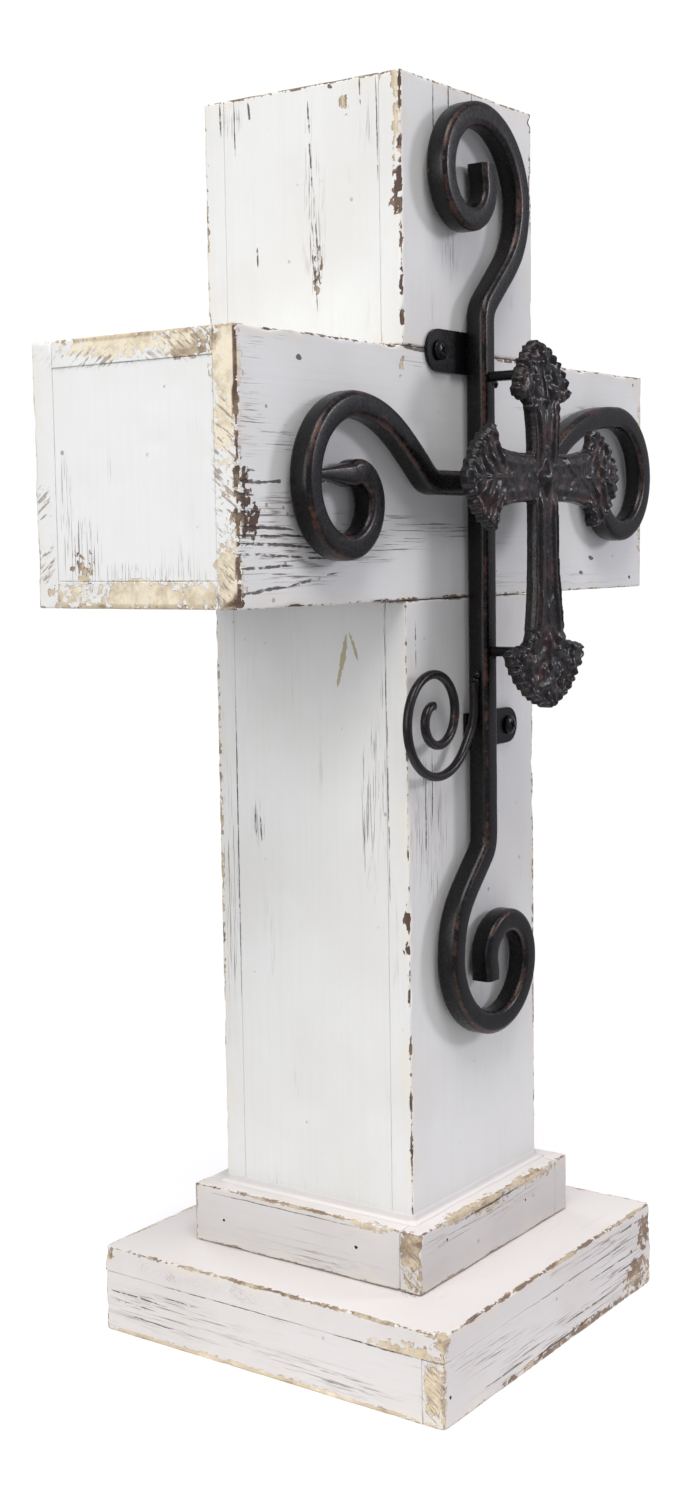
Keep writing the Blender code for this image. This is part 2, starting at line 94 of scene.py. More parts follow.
def meshObject(name, points, faces, material, shadeSmooth=True):
    mesh = bpy.data.meshes.new(name)
    points = np.asarray(points, np.float32)
    faces = np.asarray(faces, np.int32)
    mesh.vertices.add(len(points))
    mesh.vertices.foreach_set("co", points.ravel())
    mesh.loops.add(faces.size)
    mesh.loops.foreach_set("vertex_index", faces.ravel())
    mesh.polygons.add(len(faces))
    mesh.polygons.foreach_set("loop_start", np.arange(0, faces.size, faces.shape[1], dtype=np.int32))
    mesh.update(calc_edges=True)
    mesh.validate()
    mesh.polygons.foreach_set("use_smooth", np.full(len(faces), shadeSmooth))
    mesh.materials.append(material)
    return addObject(name, mesh)


def setAttribute(mesh, name, values):
    kind, field = ("FLOAT_VECTOR", "vector") if np.ndim(values) == 2 else ("FLOAT", "value")
    layer = mesh.attributes.new(name, kind, "POINT")
    layer.data.foreach_set(field, np.asarray(values, np.float32).ravel())


def readRows(items, field, width, kind=float):
    values = np.empty(len(items) * width, kind)
    items.foreach_get(field, values)
    return values.reshape(-1, width)


def fixFaces(obj):
    # a closed mesh with a negative volume is inside out
    mesh = obj.data
    mesh.calc_loop_triangles()
    points = readRows(mesh.vertices, "co", 3)
    a, b, c = points[readRows(mesh.loop_triangles, "vertices", 3, int)].transpose(1, 0, 2)
    if np.einsum("ij,ij->i", a, np.cross(b, c)).sum() < 0:
        mesh.flip_normals()


def ringQuads(rings, around, closed=False):
    # quads between rings of points that lie one after another
    here = np.arange(around)
    following = (here + 1) % around
    strips = []
    for ring in range(rings if closed else rings - 1):
        near, far = ring * around, (ring + 1) % rings * around
        strips.append(np.stack([near + here, near + following, far + following, far + here], 1))
    return np.concatenate(strips)


def poleFans(rings, around):
    # triangles that close the first ring and the last one, each to its own point after all the rings
    here = np.arange(around)
    following = (here + 1) % around
    last, pole = (rings - 1) * around, rings * around
    return np.concatenate([np.stack([np.full(around, pole), following, here], 1),
                           np.stack([last + here, last + following, np.full(around, pole + 1)], 1)])


def wire(tree, socket, value):
    if isinstance(value, bpy.types.NodeSocket):
        tree.links.new(value, socket)
    else:
        socket.default_value = value


def put(tree, kind, settings=None, **inputs):
    # adds a node; inputs are named by their sockets, or by position as i0, i1 ...
    node = tree.nodes.new(kind)
    for key, value in (settings or {}).items():
        setattr(node, key, value)
    for key, value in inputs.items():
        if key[0] == "i" and key[1:].isdigit():
            socket = node.inputs[int(key[1:])]
        else:
            socket = node.inputs[key.replace("_", " ")]
        wire(tree, socket, value)
    return node


def calc(tree, operation, *values, clamp=False):
    node = put(tree, "ShaderNodeMath", {"operation": operation, "use_clamp": clamp})
    for socket, value in zip(node.inputs, values):
        wire(tree, socket, value)
    return node.outputs[0]


def vectorCalc(tree, operation, *values):
    node = put(tree, "ShaderNodeVectorMath", {"operation": operation})
    for position, value in enumerate(values):
        socket = node.inputs["Scale"] if operation == "SCALE" and position == 1 else node.inputs[position]
        wire(tree, socket, value)
    return node.outputs["Value" if operation in ("LENGTH", "DOT_PRODUCT", "DISTANCE") else "Vector"]


def fade(tree, value, fromLow, fromHigh, toLow=0.0, toHigh=1.0):
    node = put(tree, "ShaderNodeMapRange", {"interpolation_type": "SMOOTHSTEP"}, i0=value,
               i1=fromLow, i2=fromHigh, i3=toLow, i4=toHigh)
    return node.outputs[0]


def blendColour(tree, share, first, second):
    node = put(tree, "ShaderNodeMix", {"data_type": "RGBA"})
    wire(tree, node.inputs[0], share)
    for socket, value in ((node.inputs[6], first), (node.inputs[7], second)):
        wire(tree, socket, value if isinstance(value, bpy.types.NodeSocket) else (*value[:3], 1))
    return node.outputs[2]


def grainy(tree, place, stretch, scale=1.0, detail=3.0, roughness=0.55, distortion=0.0):
    # noise on a stretched place; stretch is cycles per metre along each axis
    spread = put(tree, "ShaderNodeMapping", {"vector_type": "POINT"}, Vector=place, Scale=stretch)
    return put(tree, "ShaderNodeTexNoise", Vector=spread.outputs[0], Scale=scale, Detail=detail,
               Roughness=roughness, Distortion=distortion).outputs["Fac"]


def shaderGroup(name, inputs, outputs):
    tree = bpy.data.node_groups.new(name, "ShaderNodeTree")
    kinds = {"value": "NodeSocketFloat", "colour": "NodeSocketColor", "vector": "NodeSocketVector"}
    for label, kind, default in inputs:
        socket = tree.interface.new_socket(label, in_out="INPUT", socket_type=kinds[kind])
        if default is not None:
            socket.default_value = default
    for label, kind in outputs:
        tree.interface.new_socket(label, in_out="OUTPUT", socket_type=kinds[kind])
    return tree, tree.nodes.new("NodeGroupInput").outputs, tree.nodes.new("NodeGroupOutput").inputs


def useGroup(tree, group, **inputs):
    node = put(tree, "ShaderNodeGroup", {"node_tree": group})
    for key, value in inputs.items():
        wire(tree, node.inputs[key], value)
    return node.outputs


def newMaterial(name):
    material = bpy.data.materials.new(name)
    material.use_nodes = True
    tree = material.node_tree
    tree.nodes.clear()
    shader = tree.nodes.new("ShaderNodeBsdfPrincipled")
    out = tree.nodes.new("ShaderNodeOutputMaterial")
    tree.links.new(shader.outputs[0], out.inputs[0])
    return material, tree, shader


def bumpInto(tree, shader, height, depth, strength=1.0):
    bump = put(tree, "ShaderNodeBump", Height=height, Distance=depth, Strength=strength)
    tree.links.new(bump.outputs[0], shader.inputs["Normal"])


def attribute(tree, name, output="Fac"):
    node = tree.nodes.new("ShaderNodeAttribute")
    node.attribute_name = name
    return node.outputs[output]


# shared shader effects
def makeCrackLine():
    # a thin wobbling line between two points, tapering to its ends
    tree, given, out = shaderGroup("crackLine", [
        ("Place", "vector", None), ("Shake", "vector", None), ("Ragged", "value", 0.5), ("Start", "vector", None),
        ("End", "vector", None), ("Width", "value", 0.0005), ("Wobble", "value", 0.0012)], [("Mask", "value")])
    softness = 0.16 * mm
    place = vectorCalc(tree, "ADD", given["Place"], vectorCalc(tree, "SCALE", given["Shake"], given["Wobble"]))
    along = vectorCalc(tree, "SUBTRACT", given["End"], given["Start"])
    toPlace = vectorCalc(tree, "SUBTRACT", place, given["Start"])
    share = calc(tree, "DIVIDE", vectorCalc(tree, "DOT_PRODUCT", toPlace, along),
                 vectorCalc(tree, "DOT_PRODUCT", along, along), clamp=True)
    distance = vectorCalc(tree, "DISTANCE", toPlace, vectorCalc(tree, "SCALE", along, share))
    taper = calc(tree, "POWER", calc(tree, "ABSOLUTE", calc(tree, "MULTIPLY_ADD", share, 2.0, -1.0)), 3.0)
    width = calc(tree, "MULTIPLY", given["Width"], calc(tree, "SUBTRACT", 1.05, taper))
    width = calc(tree, "MULTIPLY", width, calc(tree, "MULTIPLY", given["Ragged"], 1.7))
    wire(tree, out["Mask"], fade(tree, calc(tree, "SUBTRACT", distance, width), softness, -softness))
    return tree


def makeWornEdge():
    # paint rubbed off outer corners: a mask of bare wood and a darker rim round it; lengths are in mm
    tree, given, out = shaderGroup("wornEdge", [
        ("Place", "vector", None), ("Grain", "vector", None), ("Edge", "value", 10.0), ("Bare", "value", 0.0),
        ("Width", "value", 1.5), ("Amount", "value", 0.5)], [("Mask", "value"), ("Rim", "value")])
    broad = grainy(tree, given["Place"], (55, 55, 55), detail=4.0, roughness=0.62)
    fine = grainy(tree, given["Grain"], (420, 420, 120), detail=3.0, roughness=0.65)
    # paint lets go in small angular flakes
    shake = put(tree, "ShaderNodeTexNoise", Vector=given["Place"], Scale=260.0, Detail=3.0).outputs["Color"]
    shake = vectorCalc(tree, "SCALE", vectorCalc(tree, "SUBTRACT", shake, (0.5, 0.5, 0.5)), 0.0022)
    cells = put(tree, "ShaderNodeTexVoronoi", {"feature": "F1"},
                Vector=vectorCalc(tree, "ADD", given["Place"], shake), Scale=520.0)
    flake = vectorCalc(tree, "DOT_PRODUCT", cells.outputs["Color"], (1, 0, 0))
    spread = calc(tree, "ADD", calc(tree, "MULTIPLY", broad, 4.4), calc(tree, "MULTIPLY", fine, 2.2))
    spread = calc(tree, "MULTIPLY_ADD", flake, 1.1, spread)
    reach = calc(tree, "ADD", calc(tree, "SUBTRACT", spread, 4.5), given["Amount"])
    reach = calc(tree, "MULTIPLY", reach, given["Width"])
    # bare patches widen the reach, so that they share the same ragged rim
    ragged = calc(tree, "ADD", calc(tree, "MULTIPLY_ADD", fine, 1.3, -0.65),
                  calc(tree, "MULTIPLY_ADD", broad, 1.9, -0.95))
    ragged = calc(tree, "ADD", ragged, calc(tree, "MULTIPLY_ADD", flake, 0.85, -0.42))
    patch = calc(tree, "ADD", given["Bare"], calc(tree, "MULTIPLY", ragged, fade(tree, given["Bare"], 0.0, 0.25)))
    patch = calc(tree, "MULTIPLY", calc(tree, "SUBTRACT", patch, 0.55), 7.0)
    away = calc(tree, "MINIMUM", calc(tree, "SUBTRACT", given["Edge"], reach), calc(tree, "MULTIPLY", patch, -1.0))
    wire(tree, out["Mask"], fade(tree, away, 0.14, -0.14))
    outside = fade(tree, away, 0.45, 0.05)
    inside = fade(tree, away, -0.65, -0.05)
    wire(tree, out["Rim"], calc(tree, "MULTIPLY", outside, inside))
    return tree


woodTones = {"fresh": (0.70, 0.635, 0.495), "tan": (0.50, 0.415, 0.295), "brown": (0.20, 0.138, 0.098),
             "darkest": (0.085, 0.055, 0.042)}


def makeBareWood():
    # bare softwood: ochre cream where it is fresh, tan with age, dark brown where it is oldest
    tree, given, out = shaderGroup("bareWood", [("Place", "vector", None), ("Grain", "vector", None),
                                                ("Age", "value", 0.5)], [("Colour", "colour"), ("Height", "value")])
    stripes = grainy(tree, given["Grain"], (620, 620, 24), detail=4.0, roughness=0.6)
    blotch = grainy(tree, given["Place"], (95, 95, 95), detail=4.0)
    age = calc(tree, "ADD", given["Age"], calc(tree, "MULTIPLY_ADD", blotch, 1.3, -0.65))
    age = calc(tree, "ADD", age, calc(tree, "MULTIPLY_ADD", stripes, 0.5, -0.25))
    colour = blendColour(tree, fade(tree, age, 0.0, 0.45), woodTones["fresh"], woodTones["tan"])
    colour = blendColour(tree, fade(tree, age, 0.45, 0.85), colour, woodTones["brown"])
    colour = blendColour(tree, fade(tree, age, 0.85, 1.25), colour, woodTones["darkest"])
    wire(tree, out["Colour"], colour)
    wire(tree, out["Height"], stripes)
    return tree


# colours of the marks on the paint
markTones = {"grime": (0.165, 0.120, 0.098), "cream": (0.66, 0.58, 0.44), "scrape": (0.36, 0.315, 0.185),
             "rim": (0.145, 0.098, 0.068), "saw": (0.235, 0.185, 0.145), "crack": (0.055, 0.038, 0.030)}


def makeChalkPaint():
    # thin white paint over plank: brush drag, grain showing through, grey streaks, specks of dirt
    tree, given, out = shaderGroup("chalkPaint", [
        ("Place", "vector", None), ("Grain", "vector", None), ("White", "colour", (0.84, 0.82, 0.78, 1)),
        ("Shade", "colour", (0.72, 0.69, 0.64, 1)), ("Streaks", "value", 0.5), ("Dirt", "value", 0.5),
        ("Dry", "value", 0.0)], [("Colour", "colour"), ("Height", "value")])
    brush = grainy(tree, given["Grain"], (520, 520, 14), detail=4.0, roughness=0.6)
    cloud = grainy(tree, given["Place"], (16, 16, 16), detail=3.0)
    patch = grainy(tree, given["Grain"], (75, 75, 17), detail=3.0, roughness=0.6)
    white = blendColour(tree, fade(tree, cloud, 0.35, 0.7, 0.0, 0.55), given["White"], given["Shade"])
    white = blendColour(tree, fade(tree, brush, 0.42, 0.68, 0.0, 0.17), white, given["Shade"])
    # grain lines are the level lines of a long stretched noise
    contour = grainy(tree, given["Grain"], (62, 62, 2.6), detail=2.0, roughness=0.45, distortion=0.3)
    rings = calc(tree, "PINGPONG", calc(tree, "MULTIPLY", contour, 16.0), 0.5)
    thin = fade(tree, rings, 0.10, 0.0)
    fibre = grainy(tree, given["Grain"], (1900, 1900, 34), detail=3.0, roughness=0.68)
    broken = fade(tree, fibre, 0.46, 0.58)
    dry = calc(tree, "ADD", fade(tree, patch, 0.52, 0.80, 0.0, 0.55),
               calc(tree, "MULTIPLY", given["Dry"], calc(tree, "ADD", patch, 0.55)), clamp=True)
    dry = calc(tree, "MULTIPLY", dry, given["Streaks"])
    lines = calc(tree, "MULTIPLY", calc(tree, "MULTIPLY", thin, broken), dry)
    dash = calc(tree, "MULTIPLY", fade(tree, fibre, 0.585, 0.64), fade(tree, dry, 0.12, 0.5))
    # specks are the middles of a few cells
    cell = put(tree, "ShaderNodeTexVoronoi", {"feature": "F1"}, Vector=given["Place"], Scale=150.0)
    rare = fade(tree, grainy(tree, given["Place"], (70, 70, 70), detail=2.0), 0.60, 0.68)
    speck = calc(tree, "MULTIPLY", fade(tree, cell.outputs["Distance"], 0.17, 0.09), rare)
    speck = calc(tree, "MULTIPLY", speck, given["Dirt"])
    mark = calc(tree, "MAXIMUM", calc(tree, "MAXIMUM", lines, dash), speck)
    wire(tree, out["Colour"], blendColour(tree, calc(tree, "MULTIPLY", mark, 0.85), white, markTones["grime"]))
    height = calc(tree, "ADD", calc(tree, "MULTIPLY", brush, 0.24), calc(tree, "MULTIPLY", mark, -0.9))
    wire(tree, out["Height"], height)
    return tree


crackLine = makeCrackLine()
wornEdge = makeWornEdge()
bareWood = makeBareWood()
chalkPaint = makeChalkPaint()
print("shader groups made:", len(bpy.data.node_groups))


# painted boards
# marks are in mm: cracks and scrapes by start, end, width and wobble; patches of bare wood by centre, half sizes,
# strength and the wood's age; dry and sawn places by centre, half sizes and strength; chips, on the outer corners,
# by centre and half sizes; the top white is a lighter copy of the paint for upward faces, painted light on the tops
paints = {
    "post": {
        "white": (0.660, 0.662, 0.645, 1), "shade": (0.590, 0.582, 0.553, 1), "streaks": 0.66, "dirt": 0.6,
        "wearWidth": 0.8, "wearAmount": 0.30, "age": 0.85, "chipAge": 1.15,
        "cracks": [
            ((-51.5, -4.4, 533), (-51.5, -6.0, 486), 0.42, 2.0),
            ((-51.5, -5.0, 489), (-51.5, -8.2, 440), 0.36, 2.2),
            ((-51.5, -7.6, 478), (-51.5, -9.6, 446), 0.42, 2.0), ((-51.5, -5.4, 468), (-51.5, -7.0, 452), 0.4, 1.6),
            ((-51.5, -38.1, 530), (-51.5, -38.6, 490), 0.27, 1.2),
            ((-51.5, 41.0, 531.5), (-51.5, 40.7, 517), 0.5, 0.8),
            ((-51.5, 26.0, 529), (-51.5, 25.2, 521), 0.7, 1.6),
            ((-51.5, -14.8, 530.2), (-51.5, -17.0, 528.6), 0.9, 0.8),
            ((-51.5, -30.0, 531), (-51.5, -30.4, 520), 0.35, 1.0),
            ((-51.5, -38.9, 320), (-51.5, -40.1, 193), 0.24, 1.2),
            ((-51.5, 39.2, 283), (-51.5, 39.3, 150), 0.26, 0.8), ((-51.5, 27.1, 231), (-51.5, 26.2, 220), 0.5, 1.0),
            ((-51.5, 29.6, 234), (-51.5, 29.2, 222), 0.4, 1.0), ((-51.5, 33.5, 531), (-51.5, 33.2, 508), 0.3, 0.8),
            ((-51.5, 22.5, 470), (-51.5, 22.4, 462), 0.5, 0.8),
            ((-27.5, -49.5, 533), (-27.2, -49.5, 498), 0.42, 1.0),
            ((-16.0, -49.5, 533), (-15.8, -49.5, 516), 0.5, 1.0), ((2.0, -49.5, 533), (2.2, -49.5, 520), 0.4, 1.0),
            ((-33.0, -49.5, 262), (-33.0, -49.5, 232), 0.35, 0.9),
            ((-38.0, -49.5, 256), (-38.2, -49.5, 214), 0.35, 0.9),
            ((-44.5, -49.5, 315), (-44.3, -49.5, 296), 0.4, 0.9)],
        "scrapes": [
            ((-51.5, -20.3, 311), (-51.5, -15.0, 287.5), 1.25, 1.6),
            ((-51.5, -21.4, 311.5), (-51.5, -25.6, 299), 1.0, 1.4)],
        "patches": [
            ((-51.5, -7.4, 458), (4, 1.5, 13), (1.0, 0.85)), ((-51.5, -6.4, 475), (4, 1.1, 9), (0.85, 0.85)),
            ((-51.5, -23.0, 522), (4, 1.8, 5.2), (1.9, 0.4)), ((-51.5, -46.5, 527), (4, 1.6, 6), (1.2, 0.3)),
            ((-51.5, -35, 531.4), (4, 9, 1.0), (0.95, 0.7)), ((-51.5, -47.5, 506), (4, 1.8, 26), (0.55, 0.3)),
            ((-51.5, 8, 531.5), (3, 44, 1.2), (0.9, 0.8)), ((0, -49.5, 531.5), (50, 3, 1.2), (0.9, 0.8)),
            ((51.5, -49.5, 505), (2, 2, 26), (0.75, 0.8)), ((51.5, -49.5, 200), (2, 2, 120), (0.72, 0.8)),
            ((-51.5, 49.5, 230), (2, 2, 90), (0.70, 0.6)), ((-51.5, 49.5, 490), (2, 2, 36), (0.72, 0.6))],
        "dry": [
            ((-51.5, -5.6, 512), (5, 2.6, 16), 0.9), ((-51.5, -7.4, 474), (5, 5.0, 32), 1.15),
            ((-51.5, -33.0, 512), (5, 4, 14), 0.5), ((-51.5, 35, 523), (5, 7, 8), 0.7),
            ((-36, -49.5, 231), (15, 6, 36), 0.95), ((-51.5, -30.5, 232), (5, 3.6, 34), 0.9),
            ((-51.5, -38, 260), (5, 3, 60), 0.6), ((-51.5, 28, 228), (5, 4, 12), 0.8),
            ((-51.5, 45, 205), (5, 5, 70), 0.6), ((-16, -49.5, 466), (9, 6, 12), 0.8),
            ((20, -49.5, 160), (30, 6, 40), 0.35), ((-51.5, 0, 60), (5, 46, 12), 0.35),
            ((0, 49.5, 180), (34, 6, 90), 0.5), ((51.5, 0, 200), (5, 30, 80), 0.5)],
        "chips": [
            ((-51.5, -49.5, 488), (1.3, 2.4, 7.0)), ((-51.5, -48.5, 480.5), (1.3, 4.2, 4.6)),
            ((-51.5, -49.5, 468.5), (1.5, 1.5, 4.1)), ((-51.5, -49.5, 451), (1.7, 1.7, 6.2)),
            ((-51.5, -49.5, 436), (1.4, 1.4, 4.2)), ((-51.5, -49.5, 504), (1.1, 1.3, 2.6)),
            ((-51.5, -49.5, 524), (0.9, 0.9, 8.0)), ((-51.5, -49.5, 194), (1.2, 2.4, 5.4)),
            ((-51.5, -49.5, 181), (1.2, 2.2, 2.8)), ((-51.5, -49.5, 160), (1.1, 1.1, 4.6)),
            ((-51.5, -49.5, 140), (1.1, 1.1, 3.4)), ((-51.5, -49.5, 96), (1.1, 1.1, 5.8)),
            ((-51.5, -49.5, 116), (0.9, 0.9, 5.0)), ((-51.5, -49.5, 222), (0.9, 0.9, 4.0)),
            ((-51.5, -49.5, 262), (0.8, 0.8, 4.0)), ((51.5, -49.5, 250), (1.6, 1.6, 6.9)),
            ((51.5, -49.5, 228), (1.6, 1.6, 4.6)), ((51.5, -49.5, 500), (1.5, 1.5, 4.6)),
            ((-51.5, 49.5, 440), (1.6, 1.6, 5.8)), ((51.5, 49.5, 480), (1.9, 1.9, 6.9)),
            ((51.5, 49.5, 150), (1.9, 1.9, 5.8)), ((51.5, -49.5, 528), (2.6, 2.6, 1.9)),
            ((-8, -49.5, 532), (4, 1.2, 1.0)), ((24, -49.5, 532), (5, 1.2, 1.0)), ((-51.5, 30, 532), (1.2, 4, 1.0)),
            ((-51.5, -20, 532), (1.2, 5, 1.0))],
    },
    "crossbar": {
        "white": (0.676, 0.682, 0.668, 1), "shade": (0.600, 0.595, 0.570, 1), "streaks": 0.85, "dirt": 0.8,
        "wearWidth": 0.9, "wearAmount": 0.42, "age": 0.85, "chipAge": 1.2,
        "cracks": [
            ((-159.5, -49.5, 369.6), (-140, -49.5, 369.6), 0.80, 1.4),
            ((-143, -49.5, 369.8), (-112, -49.5, 370.4), 0.66, 1.3),
            ((-116, -49.5, 370.2), (-70, -49.5, 371.2), 0.48, 1.4),
            ((-159.5, -49.5, 359.0), (-146, -49.5, 358.6), 0.55, 1.2),
            ((-159.5, -49.5, 353.5), (-124, -49.5, 352.4), 0.62, 1.4),
            ((-136, -49.5, 350.6), (-96, -49.5, 349.0), 0.50, 1.4),
            ((-159.5, -49.5, 347.5), (-112, -49.5, 346.0), 0.66, 1.6),
            ((-148, -49.5, 343.0), (-98, -49.5, 341.6), 0.48, 1.4),
            ((-159.5, -49.5, 338.5), (-126, -49.5, 339.2), 0.60, 1.4),
            ((-120, -49.5, 344.2), (-84, -49.5, 343.6), 0.42, 1.2),
            ((-158.5, -49.5, 329.5), (-129.5, -49.5, 331.6), 0.66, 1.3),
            ((-131, -49.5, 331.4), (-97.4, -49.5, 336.4), 0.58, 1.2),
            ((-159.5, -49.5, 365.2), (-149, -49.5, 364.8), 0.50, 1.0),
            ((-159.5, -49.5, 350.4), (-132, -49.5, 349.6), 0.55, 1.4),
            ((-159.5, -49.5, 343.8), (-136, -49.5, 343.2), 0.50, 1.2),
            ((-159.0, -49.5, 374.0), (-148, -49.5, 373.6), 0.55, 1.0),
            ((104, -49.5, 339), (109, -49.5, 338.4), 1.0, 0.8), ((95, -49.5, 332.2), (99, -49.5, 331.8), 1.0, 0.8),
            ((-53.5, -49.5, 424.2), (-26, -49.5, 423.8), 0.8, 1.6),
            ((-122.5, -49.5, 415.5), (-119.0, -49.5, 415.2), 1.1, 0.8)],
        "patches": [
            ((-155.0, -49.5, 361), (3.6, 4, 16), (0.95, 1.3)), ((-149.5, -49.5, 356), (4.2, 4, 8), (0.78, 1.3)),
            ((-152.5, -49.5, 366.5), (1.8, 4, 1.9), (1.3, 1.0)),
            ((-158.5, -49.5, 345), (2.2, 2.2, 22), (0.75, 1.2)),
            ((-52.4, -49.5, 416.6), (2.0, 4, 2.4), (1.3, 0.35)), ((-158.1, 27, 339), (4, 6, 9), (0.66, 0.6)),
            ((-158.5, -44.5, 413), (5, 6.5, 14), (1.4, 0.12)), ((-158.5, -44.5, 334), (5, 6.5, 14), (1.4, 0.22)),
            ((-158.5, -44.5, 390), (5, 5.5, 16), (0.8, 0.15)), ((-158.5, -44.5, 356), (5, 4.5, 12), (0.5, 0.3)),
            ((-158.5, -26, 420), (5, 13, 5.5), (1.1, 0.55)), ((-158.5, 6, 421), (5, 30, 4.8), (1.25, 0.1)),
            ((-158.5, -4, 329), (5, 24, 5.4), (1.5, 0.15)), ((-158.5, -32, 329), (5, 12, 5.0), (1.2, 0.25)),
            ((-158.5, 33, 329), (5, 12, 5), (0.62, 0.3)), ((-158.5, -49.5, 375), (1.1, 1.1, 54), (0.85, 1.1)),
            ((158.5, -49.5, 334), (2, 2, 6), (0.9, 0.35)), ((158.5, -44.5, 400), (5, 6, 22), (1.0, 0.2)),
            ((158.5, -44.5, 345), (5, 6, 16), (1.1, 0.3)), ((158.5, 0, 420), (5, 34, 5), (0.9, 0.3)),
            ((158.5, 0, 329), (5, 30, 5), (1.0, 0.2)), ((158.5, 44.5, 372), (5, 5, 40), (0.8, 0.3)),
            ((0, -49.5, 425), (158, 2.0, 1.4), (0.50, 0.85)), ((0, -49.5, 324), (158, 1.8, 1.3), (0.46, 0.85)),
            ((-158.5, 0, 425), (2, 50, 1.6), (0.95, 0.5)), ((-158.5, 0, 324), (2, 50, 1.6), (0.9, 0.5))],
        "dry": [
            ((-130, -49.5, 347), (42, 6, 15), 1.4), ((-74, -49.5, 350), (44, 6, 10), 0.75),
            ((-150, -49.5, 395), (8, 6, 30), 0.35), ((-120, -49.5, 383), (34, 6, 5), 0.35),
            ((40, -49.5, 330), (90, 6, 5), 0.35), ((-20, -49.5, 354), (40, 6, 5), 0.5),
            ((-158.1, 26, 343), (4, 9, 13), 1.5), ((-158.1, 0, 336), (4, 36, 5), 0.7),
            ((-158.1, 34, 360), (4, 3, 26), 0.8), ((-158.1, -6, 331), (4, 30, 4), 0.7),
            ((-158.1, -20, 340), (4, 14, 9), 0.35), ((60, 49.5, 350), (70, 6, 18), 0.6)],
        "sawn": [
            ((-158.5, -44.5, 374), (4, 6, 26), 1.0), ((-158.5, -44.5, 332), (4, 6, 10), 0.7),
            ((-158.5, -28, 420), (4, 12, 6), 1.0), ((-158.5, 12, 417), (4, 30, 4), 0.6),
            ((-158.5, 45.5, 363), (4, 3.6, 8), 1.0), ((-158.5, 45, 343), (4, 4, 10), 1.0),
            ((158.5, -44.5, 374), (4, 6, 44), 0.9), ((158.5, 44.5, 360), (4, 6, 30), 0.8)],
        "chips": [
            ((-158.5, -49.5, 398), (1.5, 1.5, 4.6)), ((-158.5, -49.5, 372), (1.6, 1.9, 4.6)),
            ((-158.5, -49.5, 358), (1.9, 2.5, 8.0)), ((-158.5, -49.5, 340), (1.9, 1.9, 5.8)),
            ((-158.5, -49.5, 326), (4.6, 4.6, 1.9)), ((-158.5, 49.5, 380), (0.9, 0.9, 6)),
            ((-158.5, 49.5, 342), (0.9, 0.9, 6)), ((-138, -49.5, 425), (4.6, 1.9, 1.4)),
            ((-98, -49.5, 425), (5.1, 1.9, 1.5)), ((-84, -49.5, 425), (3.4, 3.4, 1.2)),
            ((-60, -49.5, 425), (3.9, 1.9, 1.1)), ((-126, -49.5, 324), (4.6, 1.9, 1.4)),
            ((-70, -49.5, 324), (3.9, 1.9, 1.1)), ((96, -49.5, 425), (4.6, 1.9, 1.1)),
            ((158.5, -49.5, 380), (1.2, 1.2, 4.6))],
    },
    "plinth": {
        # the plinth's sides are painted darker than its tops: painted shade on the sides and painted light on the
        # tops
        "white": (0.560, 0.540, 0.527, 1), "shade": (0.498, 0.468, 0.444, 1), "topLitWhite": (0.672, 0.640, 0.618, 1),
        "streaks": 0.68, "dirt": 0.5, "wearWidth": 0.95, "wearAmount": 0.85, "age": 0.42, "chipAge": 0.62,
        "cracks": [
            ((-90.5, 60, 26.9), (-90.5, -20, 27.3), 0.17, 1.0), ((-90.5, -34, 27.0), (-90.5, -88, 27.2), 0.32, 1.4),
            ((-20, -89, 27.0), (80, -89, 27.1), 0.18, 1.0), ((-62, 50, 61.5), (-62, -30, 61.8), 0.19, 1.0),
            ((-30, -60, 61.2), (20, -60, 61.6), 0.45, 1.4), ((-60, -89, 6.0), (-20, -89, 5.4), 0.3, 1.2),
            ((0, -89, 9.0), (60, -89, 8.4), 0.32, 1.4), ((-30, -89, 3.0), (40, -89, 3.5), 0.45, 1.4),
            ((-90.5, 88, 18.6), (-90.5, 52, 18.0), 0.41, 1.2), ((-90.5, 84, 14.6), (-90.5, 58, 14.4), 0.34, 1.2),
            ((-90.5, 60, 22), (-90.5, 34, 21.6), 0.26, 1.0), ((-90.5, 74, 9), (-90.5, 50, 8.6), 0.3, 1.0),
            ((30, -89, 20.5), (78, -89, 20.0), 0.32, 1.4), ((48, -89, 15.5), (84, -89, 15.0), 0.32, 1.4),
            ((56, -89, 33.5), (84, -89, 33.0), 0.38, 1.4)],
        "patches": [
            ((-62, -55, 57), (4, 4.6, 8), (1.8, 0.6)), ((-62, -55, 44), (4, 4, 5), (0.8, 0.5)),
            ((-90.5, -84, 16), (4, 4.4, 10), (2.3, 0.45)), ((-90.5, -70, 29), (4, 16, 2.0), (0.95, 0.4)),
            ((-90.5, 0, 0.6), (4, 92, 1.6), (1.7, 0.36)), ((-90.5, 0, 38.6), (2.0, 92, 1.1), (1.05, 0.68)),
            ((0, -89, 38.6), (92, 1.8, 1.1), (1.0, 0.78)), ((-62, 0, 64.6), (1.8, 60, 1.1), (1.0, 0.68)),
            ((0, -60, 64.6), (62, 1.8, 1.1), (1.0, 0.78)), ((-30, -60, 63.6), (13, 5, 2.4), (1.15, 0.45)),
            ((-4, -60, 62.4), (14, 5, 2.6), (1.1, 0.6)), ((33, -60, 63), (18, 5, 2.4), (1.1, 0.45)),
            ((-62, -36, 63.4), (4, 10, 1.8), (1.15, 0.35)), ((20, -89, 1.2), (70, 4, 2.2), (0.95, 0.75)),
            ((76, -89, 8), (12, 4, 8), (0.85, 0.7)), ((84, -89, 27), (8, 4, 8), (0.8, 0.7)),
            ((-90.5, -89, 20), (1.8, 1.8, 20), (0.8, 0.5)), ((-62, -60, 50), (1.8, 1.8, 14), (0.7, 0.5)),
            ((90.5, -40, 1.2), (4, 50, 2), (1.1, 0.5)), ((0, 89, 1.2), (80, 4, 2), (1.0, 0.5)),
